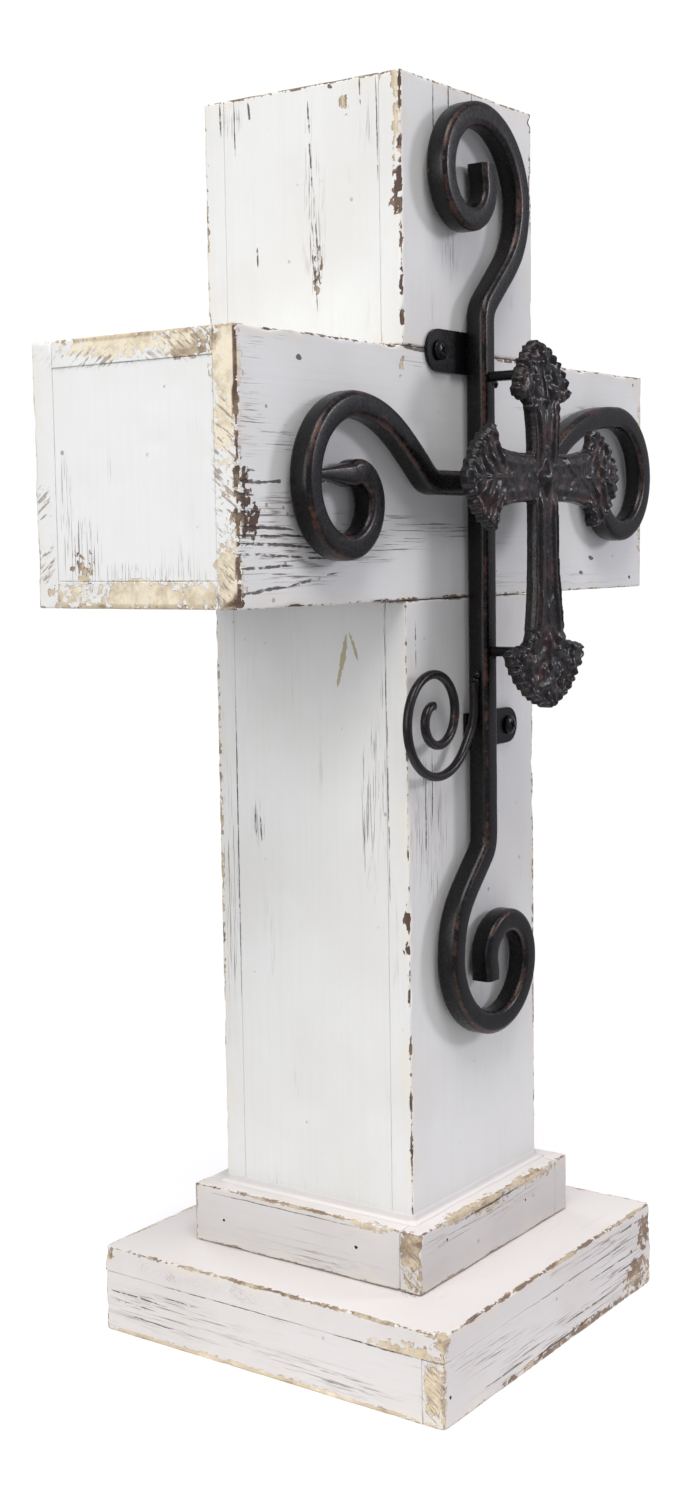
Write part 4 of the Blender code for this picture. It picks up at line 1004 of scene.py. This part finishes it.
def wireRoute():
    size = ironwork["wire"]
    centre = at(size["across"], crossbarFoot - size["below"])
    start = centre + polar(size["outer"], size["start"])
    top = at(-ironwork["bar"] / 2 - ironwork["gap"] - size["thick"] / 2, centre.z + size["leadAbove"])
    lead, heading, pull = top - at(0, size["lead"]), polar(1, size["start"] - 90), 0.3 * size["outer"]
    route = [top, lead] + cubic(lead, lead - at(0, pull), start - heading * pull, start, 14)
    return route + coil(centre, size["start"], size["turn"], size["outer"], size["inner"])[1:]


def makeBar(name, route, width, corner, material, step, drawn=0.0):
    points = [(point.x + ironwork["offCentre"], ironwork["middleY"], point.z) for point in route]
    lengths = np.concatenate([[0], np.cumsum([(b - a).length for a, b in zip(route, route[1:])])])
    # a drawn end narrows over its last stretch
    girth = np.ones(len(points))
    if drawn:
        girth = 1 - (1 - drawn) * smooth(lengths[-1] - ironwork["drawnOver"], lengths[-1], lengths)
    edges = [(number, number + 1) for number in range(len(points) - 1)]
    obj = runTree(name + "_forged", points, edges, forgedBar,
                  {"Width": width, "Corner": corner, "Corner Points": ironwork["cornerPoints"], "Step": step,
                   "Hammering": ironwork["hammering"], "Iron": material}, {"girth": girth})
    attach(obj, "root")
    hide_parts(name)


top, bottom = ironwork["topScroll"], ironwork["bottomScroll"]
upright = endScroll(at(0, crossbarTop + top["knee"]), 1, 1, at(top["across"], crossbarTop + top["above"]))[::-1]
upright += endScroll(at(0, plinthTop + bottom["knee"]), -1, -1, at(bottom["across"], plinthTop + bottom["above"]))
barSize = (ironwork["bar"], ironwork["corner"], iron["wroughtIron"], ironwork["step"])
makeBar("scroll_upright", upright, *barSize)
makeBar("scroll_left", sideScroll(-1, ironwork["leftScroll"]), *barSize, ironwork["tip"] / ironwork["bar"])
makeBar("scroll_right", sideScroll(1, ironwork["rightScroll"]), *barSize)
wireSize = ironwork["wire"]
makeBar("wire_scroll", wireRoute(), wireSize["thick"], wireSize["thick"] * wireSize["cornerShare"], iron["wireIron"],
        wireSize["step"])
print("ironwork forged")

# weld lumps where arms, wire and pins meet the upright: each spot in mm, the way it faces and its size
welds = {
    "radius": 1.7 * mm, "flatness": 0.75, "roughness": 1.2, "seed": 5,
    "spots": [((-9.1, -58.5, 372.5), (-1, -1, 0), 1.0), ((-9.1, -56, 368.5), (-1, 0, -1), 0.9),
              ((1.5, -58.5, 372.5), (1, -1, 0), 1.0), ((1.5, -57, 369), (1, 0, -1), 0.9),
              ((1.9, -60.0, 412.2), (1, -1, 0), 0.95), ((-10.3, -56.5, 288.5), (-1, 0, 0), 1.25),
              ((-10.6, -56.5, 285.2), (-1, 0, 0), 1.1), ((-9.9, -57.2, 291.4), (-1, 0, 0), 1.0),
              ((-1.9, -60.6, 412.0), (0, -1, -1), 0.7), ((-1.9, -60.6, 298.4), (0, -1, -1), 0.8)],
}


def scatter(name, lumps):
    spots, facings, sizes = zip(*lumps["spots"])
    obj = runTree(name, [tuple(v * mm for v in spot) for spot in spots], [], scatteredLumps,
                  {"Radius": lumps["radius"], "Flatness": lumps["flatness"], "Roughness": lumps["roughness"],
                   "Seed": lumps["seed"], "Finish": iron["fixingIron"]}, {"facing": facings, "size": sizes})
    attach(obj, "root")


scatter("weld_lumps", welds)

# nail heads, all but flush with the boards
nails = {
    "radius": 0.95 * mm, "flatness": 0.28, "roughness": 0.5, "seed": 9,
    "spots": [((-61.75, 43.7, 50.3), (-1, 0, 0), 0.9), ((-61.75, -27.7, 53.0), (-1, 0, 0), 1.0),
              ((-41.4, -59.75, 56.3), (0, -1, 0), 1.1), ((24.5, -59.75, 53.9), (0, -1, 0), 0.9),
              ((-85.7, -88.75, 12.2), (0, -1, 0), 1.1), ((70.9, -88.75, 20.8), (0, -1, 0), 1.1),
              ((149.8, -49.25, 421.0), (0, -1, 0), 1.1), ((146.2, -49.25, 328.8), (0, -1, 0), 1.1),
              ((61.75, -36.0, 52.0), (1, 0, 0), 1.0), ((61.75, 30.0, 51.0), (1, 0, 0), 1.0),
              ((-40.0, 59.75, 52.0), (0, 1, 0), 1.0), ((38.0, 59.75, 52.5), (0, 1, 0), 1.0),
              ((-72.0, 88.75, 14.0), (0, 1, 0), 1.0), ((74.0, 88.75, 13.0), (0, 1, 0), 1.0),
              ((90.25, -74.0, 14.0), (1, 0, 0), 1.0), ((90.25, 72.0, 13.5), (1, 0, 0), 1.0)],
}
scatter("nail_heads", nails)

# straps and pins keep their CAD shapes
for name in ("strap_upper", "strap_lower", "pin_upper", "pin_lower"):
    node = frame["nodes"][name]
    node.data.materials.clear()
    node.data.materials.append(iron["fixingIron"])
print("fixings made")

# pan-head screws with a cross recess
screws = {"shankRadius": 1.7 * mm, "headDepth": 2.2 * mm, "domeStart": 1.0 * mm, "recess": 1.1 * mm, "arm": 2.2 * mm,
          "slot": 0.62 * mm, "rings": 26, "around": 96}


def makeScrew(name, turn):
    low, high = (Vector(corner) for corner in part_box(name))
    middle = (low + high) / 2
    shankBack, radius = high.y, (high.x - low.x) / 2
    headBack = low.y + screws["headDepth"]
    dome, domeBack, domeRadius = low.y + 0.02 * mm, headBack - screws["domeStart"], radius * 0.985
    # from the hidden end of the shank out to the rim, over the dome to its middle; no ring at either pole
    profile = [(screws["shankRadius"], shankBack), (screws["shankRadius"], headBack), (radius * 0.94, headBack),
               (radius, headBack - 0.25 * mm), (radius, headBack - 0.7 * mm), (domeRadius, domeBack)]
    for share in np.linspace(1, 0, screws["rings"] + 1)[1:-1]:
        profile.append((domeRadius * share, dome + (domeBack - dome) * share ** 3))
    angles = np.linspace(0, 2 * math.pi, screws["around"], endpoint=False)
    rows = []
    for ringRadius, y in profile:
        x, z = ringRadius * np.cos(angles), ringRadius * np.sin(angles)
        depth = np.zeros(len(angles))
        if y < domeBack + 1e-6:
            a, b = x * math.cos(turn) + z * math.sin(turn), z * math.cos(turn) - x * math.sin(turn)
            thin, far = np.minimum(np.abs(a), np.abs(b)), np.maximum(np.abs(a), np.abs(b))
            depth = (screws["recess"] * smooth(screws["slot"], screws["slot"] * 0.6, thin)
                     * smooth(screws["arm"], screws["arm"] * 0.7, far))
        rows.append(np.column_stack([middle.x + x, y + depth, middle.z + z]))
    poles = [(middle.x, shankBack, middle.z), (middle.x, dome + screws["recess"], middle.z)]
    quads = ringQuads(len(profile), screws["around"])
    halves = [quads[:, [0, 1, 2]], quads[:, [0, 2, 3]], poleFans(len(profile), screws["around"])]
    obj = meshObject(name + "_head", np.concatenate(rows + [poles]), np.concatenate(halves), iron["fixingIron"])
    fixFaces(obj)
    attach(obj, "root")
    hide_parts(name)


makeScrew("screw_upper", math.radians(28))
makeScrew("screw_lower", math.radians(64))
print("screws made")

# cast leaf cross: limbs shaped from their outline, joined by a fine remesh
cast = {
    "centre": (-0.0005, -0.0815, 0.3727), "tilt": math.radians(0.7), "shaft": 9.8 * mm, "thick": 3.9 * mm,
    "most": 7.3 * mm, "station": 0.45 * mm, "acrossPoints": 97, "beadPitch": 4.7 * mm, "scallop": 1.2 * mm,
    "scallopPitch": 5.8 * mm, "voxel": 0.46 * mm, "rough": 0.09 * mm, "frontLimit": -0.0889, "back": 0.02 * mm,
    "outlinePoints": 420, "easing": 14, "hollowDepth": 0.42 * mm,
    "boss": {"reach": 7.4 * mm, "height": 3.3, "fall": 2.2, "sink": -1.5 * mm, "rings": 14, "around": 64},
    "arms": {
        "upper": {"length": 0.0555, "fan": 0.0228, "lean": -0.0060, "leaf": 0.54, "flare": 0.28, "taper": 1.9,
                  "folds": 0.5, "nodes": 1.25},
        "lower": {"length": 0.0955, "fan": 0.0325, "lean": 0.0022, "leaf": 0.70, "flare": 0.48, "taper": 1.7,
                  "folds": 0.4, "nodes": 1.4},
        "left": {"length": 0.0612, "fan": 0.0220, "lean": 0.0, "leaf": 0.60, "flare": 0.28, "taper": 1.8,
                 "folds": 1.0, "nodes": 0.6},
        "right": {"length": 0.0640, "fan": 0.0220, "lean": 0.0, "leaf": 0.60, "flare": 0.28, "taper": 1.8,
                 "folds": 1.0, "nodes": 0.6},
    },
    "turns": {"upper": 0, "right": 90, "lower": 180, "left": 270},
}


def leafHalfWidth(along, arm):
    leaf = arm["leaf"] * arm["length"]
    shaft = cast["shaft"] * (1 + arm["flare"] * np.clip(along / leaf, 0, 1) ** 4)
    share = np.clip((along - leaf) / (arm["length"] - leaf), 0, 1)
    fan = arm["fan"] * np.clip(1 - share ** arm["taper"], 0, 1) ** 0.62
    scallop = cast["scallop"] * np.abs(np.sin(math.pi * (along - leaf) / cast["scallopPitch"])) * share
    fan = np.maximum(fan - scallop, 0.12 * cast["shaft"])
    return np.where(along < leaf, shaft, shaft + (fan - shaft) * smooth(0, 0.17, share))


def bell(value, centre, spread):
    return np.exp(-(((value - centre) / spread) ** 2))


def nearestOutline(along, across, arm):
    # for each point: how far in from the outline it is, how far along the outline, and the outline's heading there
    line = np.linspace(0, arm["length"], cast["outlinePoints"])
    outline = np.column_stack([np.append(line, arm["length"]), np.append(leafHalfWidth(line, arm), 0)])
    steps = np.diff(outline, axis=0)
    walked = np.concatenate([[0], np.cumsum(np.linalg.norm(steps, axis=1))])
    heading = np.concatenate([steps, steps[-1:]])
    heading = heading / np.linalg.norm(heading, axis=1, keepdims=True)
    here = np.column_stack([along.ravel(), np.abs(across).ravel()])
    near, index = np.empty(len(here)), np.empty(len(here), int)
    batch = 4000    # keeps the memory small
    for first in range(0, len(here), batch):
        gap = np.linalg.norm(here[first:first + batch, None] - outline[None], axis=2)
        near[first:first + batch], index[first:first + batch] = gap.min(axis=1), gap.argmin(axis=1)
    index = index.reshape(along.shape)
    return near.reshape(along.shape), walked[index], heading[index]


def castHeight(along, across, half, arm, seed, plain):
    # the relief's height over each point, and how far the nips between the rim's beads move it; heights are in mm
    length, leaf = arm["length"], arm["leaf"] * arm["length"]
    near, place, heading = nearestOutline(along, across, arm)
    near = near / mm
    onLeaf = smooth(leaf - 0.11 * length, leaf + 0.03 * length, along)
    spots = np.column_stack([along.ravel(), across.ravel(), np.zeros(along.size)])

    def bumps(cell, step):
        return softNoise(spots, cell, seed + step).reshape(along.shape)

    width = np.abs(across) / mm + 0.9 * bumps(7 * mm, 1)
    shaftRibs = plain * (1.05 * bell(near, 0.9, 0.6) + 1.45 * bell(near, 4.6, 1.5) + 0.5 * bell(width, 0, 0.8))
    shaftRibs = shaftRibs * smooth(4 * mm, 13 * mm, along)
    beads = 1.75 * np.abs(np.cos(math.pi * place / cast["beadPitch"])) ** 0.8 * bell(near, 1.5, 1.25)
    # folded leaves: nested strokes that swing out from the midrib, broken by a second beat
    local = (along - leaf) / mm + 1.8 * bumps(9 * mm, 2)
    stroke = 0.5 + 0.5 * np.cos(2 * math.pi * (local - 0.95 * width + 0.022 * width ** 2) / 7.6)
    swing = 0.5 + 0.5 * np.cos(2 * math.pi * (0.35 * local + 0.75 * width) / 8.2 + 0.6)
    folds = 1.35 * stroke ** 1.3 * smooth(0.6, 2.6, width) * (0.55 + 0.45 * swing)
    folds = folds + 0.45 * swing + 1.1 * bell(width, 0, 1.0)
    folds = arm["folds"] * folds * smooth(1.6, 3.4, near)
    knobs = bumps(2.3 * mm, 0)
    lumps = np.maximum(bumps(3.9 * mm, 3), -0.35)
    folds = folds + arm["nodes"] * (0.5 * knobs + 1.15 * lumps) * smooth(1.0, 3.0, near)
    crown = 0.7 * (1 - (across / half) ** 2) * (1 - onLeaf) + onLeaf * (0.9 - 0.91 * smooth(9, 0, near))
    # a pointed leaf tip lies over the shaft before each fan
    tip = smooth(-15, -11, local + 1.3 * width) * smooth(1.2, -1.2, local)
    height = crown + (1 - onLeaf) * shaftRibs + onLeaf * (beads + folds) + 0.45 * tip * (1 - onLeaf)
    height = height + 0.22 * knobs * (1 - onLeaf) * (1.3 - plain) - 0.9 * smooth(0.7, 0, near)
    # the rim is nipped in between its beads
    nip = 1.15 * mm * np.abs(np.sin(math.pi * place / cast["beadPitch"])) ** 1.6 * bell(near, 0, 2.2) * onLeaf
    moveAlong, moveAcross = -np.abs(heading[..., 1] * nip), -heading[..., 0] * nip * np.sign(across)
    return np.minimum(cast["thick"] + height * mm, cast["most"]), moveAlong, moveAcross


def castLimb(name):
    # one arm as a closed sheet pair: the relief in front, a flat back, and walls round them
    arm, turn = cast["arms"][name], math.radians(cast["turns"][name])
    count = round(arm["length"] / cast["station"])
    along = np.linspace(-0.35 * cast["shaft"], arm["length"] - 0.12 * mm, count)[:, None]
    half = leafHalfWidth(np.abs(along), arm)
    across = half * np.linspace(-1, 1, cast["acrossPoints"])[None]
    along = np.broadcast_to(along, across.shape)
    plain = 0.3 if name in ("left", "right") else 1.0
    front, moveAlong, moveAcross = castHeight(np.abs(along), across, half, arm, 40 + cast["turns"][name], plain)
    along, across = along + moveAlong, across + moveAcross
    lean = arm["lean"] * (np.abs(along) / arm["length"]) ** 5
    sheets = []
    x, z = across - lean if name in ("lower", "left") else across + lean, along
    beta = turn - cast["tilt"]
    for out in (front, np.full(front.shape, cast["back"])):
        sheets.append(np.stack([x * math.cos(beta) + z * math.sin(beta), -out,
                                z * math.cos(beta) - x * math.sin(beta)], -1).reshape(-1, 3))
    points = np.concatenate(sheets) + np.array(cast["centre"])
    index = np.arange(front.size).reshape(front.shape)
    other = index + front.size
    faces = [np.stack([index[:-1, :-1], index[:-1, 1:], index[1:, 1:], index[1:, :-1]], -1).reshape(-1, 4),
             np.stack([other[:-1, :-1], other[1:, :-1], other[1:, 1:], other[:-1, 1:]], -1).reshape(-1, 4)]
    for line, far in ((index[0], other[0]), (index[:, -1], other[:, -1]), (index[-1, ::-1], other[-1, ::-1]),
                      (index[::-1, 0], other[::-1, 0])):
        faces.append(np.stack([line[1:], line[:-1], far[:-1], far[1:]], -1))
    return points, faces


def makeBoss():
    # the small four-pointed boss over the crossing
    boss = cast["boss"]
    angles = np.linspace(0, 2 * math.pi, boss["around"], endpoint=False)
    reach = (0.62 + 0.38 * np.abs(np.cos(2 * angles)) ** 2.2) * boss["reach"]
    rows = []
    for share in np.linspace(1, 0.06, boss["rings"]):
        out = cast["thick"] + (boss["height"] - boss["fall"] * share ** 2) * mm
        rows.append(np.column_stack([reach * np.cos(angles) * share, np.full(len(angles), -out),
                                     reach * np.sin(angles) * share]))
    base = rows[0].copy()
    base[:, 1] = boss["sink"]
    rows = [base] + rows
    poles = [(0, boss["sink"], 0), (0, -(cast["thick"] + boss["height"] * mm), 0)]
    faces = [ringQuads(len(rows), boss["around"]), poleFans(len(rows), boss["around"])]
    return np.concatenate(rows + [poles]) + np.array(cast["centre"]), faces


def makeCastCross():
    parts, faces, start = [], [], 0
    for points, shapes in [castLimb(name) for name in cast["arms"]] + [makeBoss()]:
        parts.append(points)
        for shape in shapes:
            faces += (shape + start).tolist()
        start += len(points)
    mesh = bpy.data.meshes.new("cast_rough")
    mesh.from_pydata(np.concatenate(parts).tolist(), [], faces)
    rough = addObject("cast_rough", mesh)
    remesh = rough.modifiers.new("join", "REMESH")
    remesh.mode, remesh.voxel_size, remesh.adaptivity = "VOXEL", cast["voxel"], 0.0
    graph = bpy.context.evaluated_depsgraph_get()
    made = bpy.data.meshes.new_from_object(rough.evaluated_get(graph), depsgraph=graph)
    bpy.data.objects.remove(rough)
    made.name = "cast_cross_leafed"
    obj = addObject("cast_cross_leafed", made)
    count = len(made.vertices)
    place, normal = readRows(made.vertices, "co", 3), readRows(made.vertices, "normal", 3)
    ends = readRows(made.edges, "vertices", 2, int)
    # hollow is one in the dips and nothing on the raised parts, from how far smoothing moves a point outwards
    eased = place.copy()
    touching = np.bincount(ends.ravel(), minlength=count)[:, None]
    for _ in range(cast["easing"]):
        total = np.zeros_like(eased)
        for axis in range(3):
            total[:, axis] = (np.bincount(ends[:, 0], eased[ends[:, 1], axis], count)
                              + np.bincount(ends[:, 1], eased[ends[:, 0], axis], count))
        eased = total / touching
    hollow = np.clip(0.42 + ((eased - place) * normal).sum(axis=1) / cast["hollowDepth"], 0, 1)
    pitted = place - normal * (cast["rough"] * (0.5 + 0.5 * softNoise(place, 0.9 * mm, 77)))[:, None]
    pitted[:, 1] = np.clip(pitted[:, 1], cast["frontLimit"], cast["centre"][1])
    made.vertices.foreach_set("co", pitted.astype(np.float32).ravel())
    made.polygons.foreach_set("use_smooth", np.ones(len(made.polygons), bool))
    made.materials.clear()
    made.materials.append(iron["castIron"])
    made.update()
    setAttribute(made, "hollow", hollow)
    fixFaces(obj)
    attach(obj, "root")
    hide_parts("cast_cross")
    print("cast cross made, faces:", len(made.polygons))


makeCastCross()

# floor, light and camera
view = {
    "eye": (-0.683895, -0.467339, 0.347207), "yaw": 54.477, "pitch": -6.279, "roll": -0.880,
    "sensor": 36, "lens": 36 * 1877.03 / 1500, "floor": 0.8, "floorFades": (0.15, 0.42),
}


def makeCamera():
    yaw, pitch, roll = (math.radians(view[key]) for key in ("yaw", "pitch", "roll"))
    forward = Vector((math.sin(yaw) * math.cos(pitch), math.cos(yaw) * math.cos(pitch), math.sin(pitch)))
    right = Vector((math.cos(yaw), -math.sin(yaw), 0))
    up = right.cross(forward)
    across, upward = right * math.cos(roll) + up * math.sin(roll), up * math.cos(roll) - right * math.sin(roll)
    camera = bpy.data.cameras.new("camera")
    camera.lens, camera.sensor_width, camera.clip_start = view["lens"], view["sensor"], 0.01
    obj = addObject("camera", camera)
    obj.matrix_world = Matrix((across, upward, -forward)).transposed().to_4x4()
    obj.location = view["eye"]
    scene.camera = obj


def makeFloor():
    # pale floor that thins out into the white backdrop, so that no horizon shows
    size, (near, far) = view["floor"], view["floorFades"]
    material, tree, shader = newMaterial("paleFloor")
    shader.inputs["Base Color"].default_value = (0.92, 0.92, 0.92, 1)
    shader.inputs["Roughness"].default_value = 0.9
    shader.inputs["Specular IOR Level"].default_value = 0.1
    shader.inputs["Emission Color"].default_value = (1, 1, 1, 1)
    shader.inputs["Emission Strength"].default_value = 0.12
    place = tree.nodes.new("ShaderNodeTexCoord").outputs["Object"]
    wire(tree, shader.inputs["Alpha"], fade(tree, vectorCalc(tree, "LENGTH", place), far, near))
    points = [(-size, -size, 0), (size, -size, 0), (size, size, 0), (-size, size, 0)]
    floor = meshObject("floor", points, [(0, 1, 2, 3)], material, False)


# aim is the height that a lamp points at, over the object's middle
lights = {
    "key": {"place": (-1.5, 0.05, 0.74), "aim": 0.36, "size": 1.1, "power": 13.9, "colour": (0.995, 1.0, 0.97)},
    "cool": {"place": (1.25, -1.75, 0.95), "aim": 0.30, "size": 0.45, "power": 15.2, "colour": (0.95, 0.925, 1.0)},
    "top": {"place": (-0.8, -0.75, 2.2), "aim": 0.2, "size": 1.2, "power": 38, "colour": (1.0, 0.985, 0.98)},
    "back": {"place": (0.7, 1.7, 1.0), "aim": 0.3, "size": 0.8, "power": 9, "colour": (1.0, 0.99, 0.98)},
}
sky = {"strength": 0.45, "colour": (0.95, 0.94, 1.04, 1), "backdrop": 1.02}


def makeLights():
    for name, look in lights.items():
        lamp = bpy.data.lights.new(name, "AREA")
        lamp.energy, lamp.size, lamp.color = look["power"], look["size"], look["colour"]
        obj = addObject(name, lamp)
        obj.location = look["place"]
        towards = Vector((0, 0, look["aim"])) - Vector(look["place"])
        obj.rotation_euler = towards.to_track_quat("-Z", "Y").to_euler()
    world = bpy.data.worlds.new("studio")
    world.use_nodes = True
    # the backdrop shows white, and lights the piece more softly than that
    tree = world.node_tree
    glow = tree.nodes["Background"]
    glow.inputs["Color"].default_value = sky["colour"]
    glow.inputs["Strength"].default_value = sky["strength"]
    white = put(tree, "ShaderNodeBackground", Color=(1, 1, 1, 1), Strength=sky["backdrop"])
    seen = tree.nodes.new("ShaderNodeLightPath").outputs["Is Camera Ray"]
    either = put(tree, "ShaderNodeMixShader", i0=seen, i1=glow.outputs[0], i2=white.outputs[0])
    tree.links.new(either.outputs[0], tree.nodes["World Output"].inputs[0])
    scene.world = world
    scene.view_settings.view_transform = "Standard"


makeCamera()
makeFloor()
makeLights()
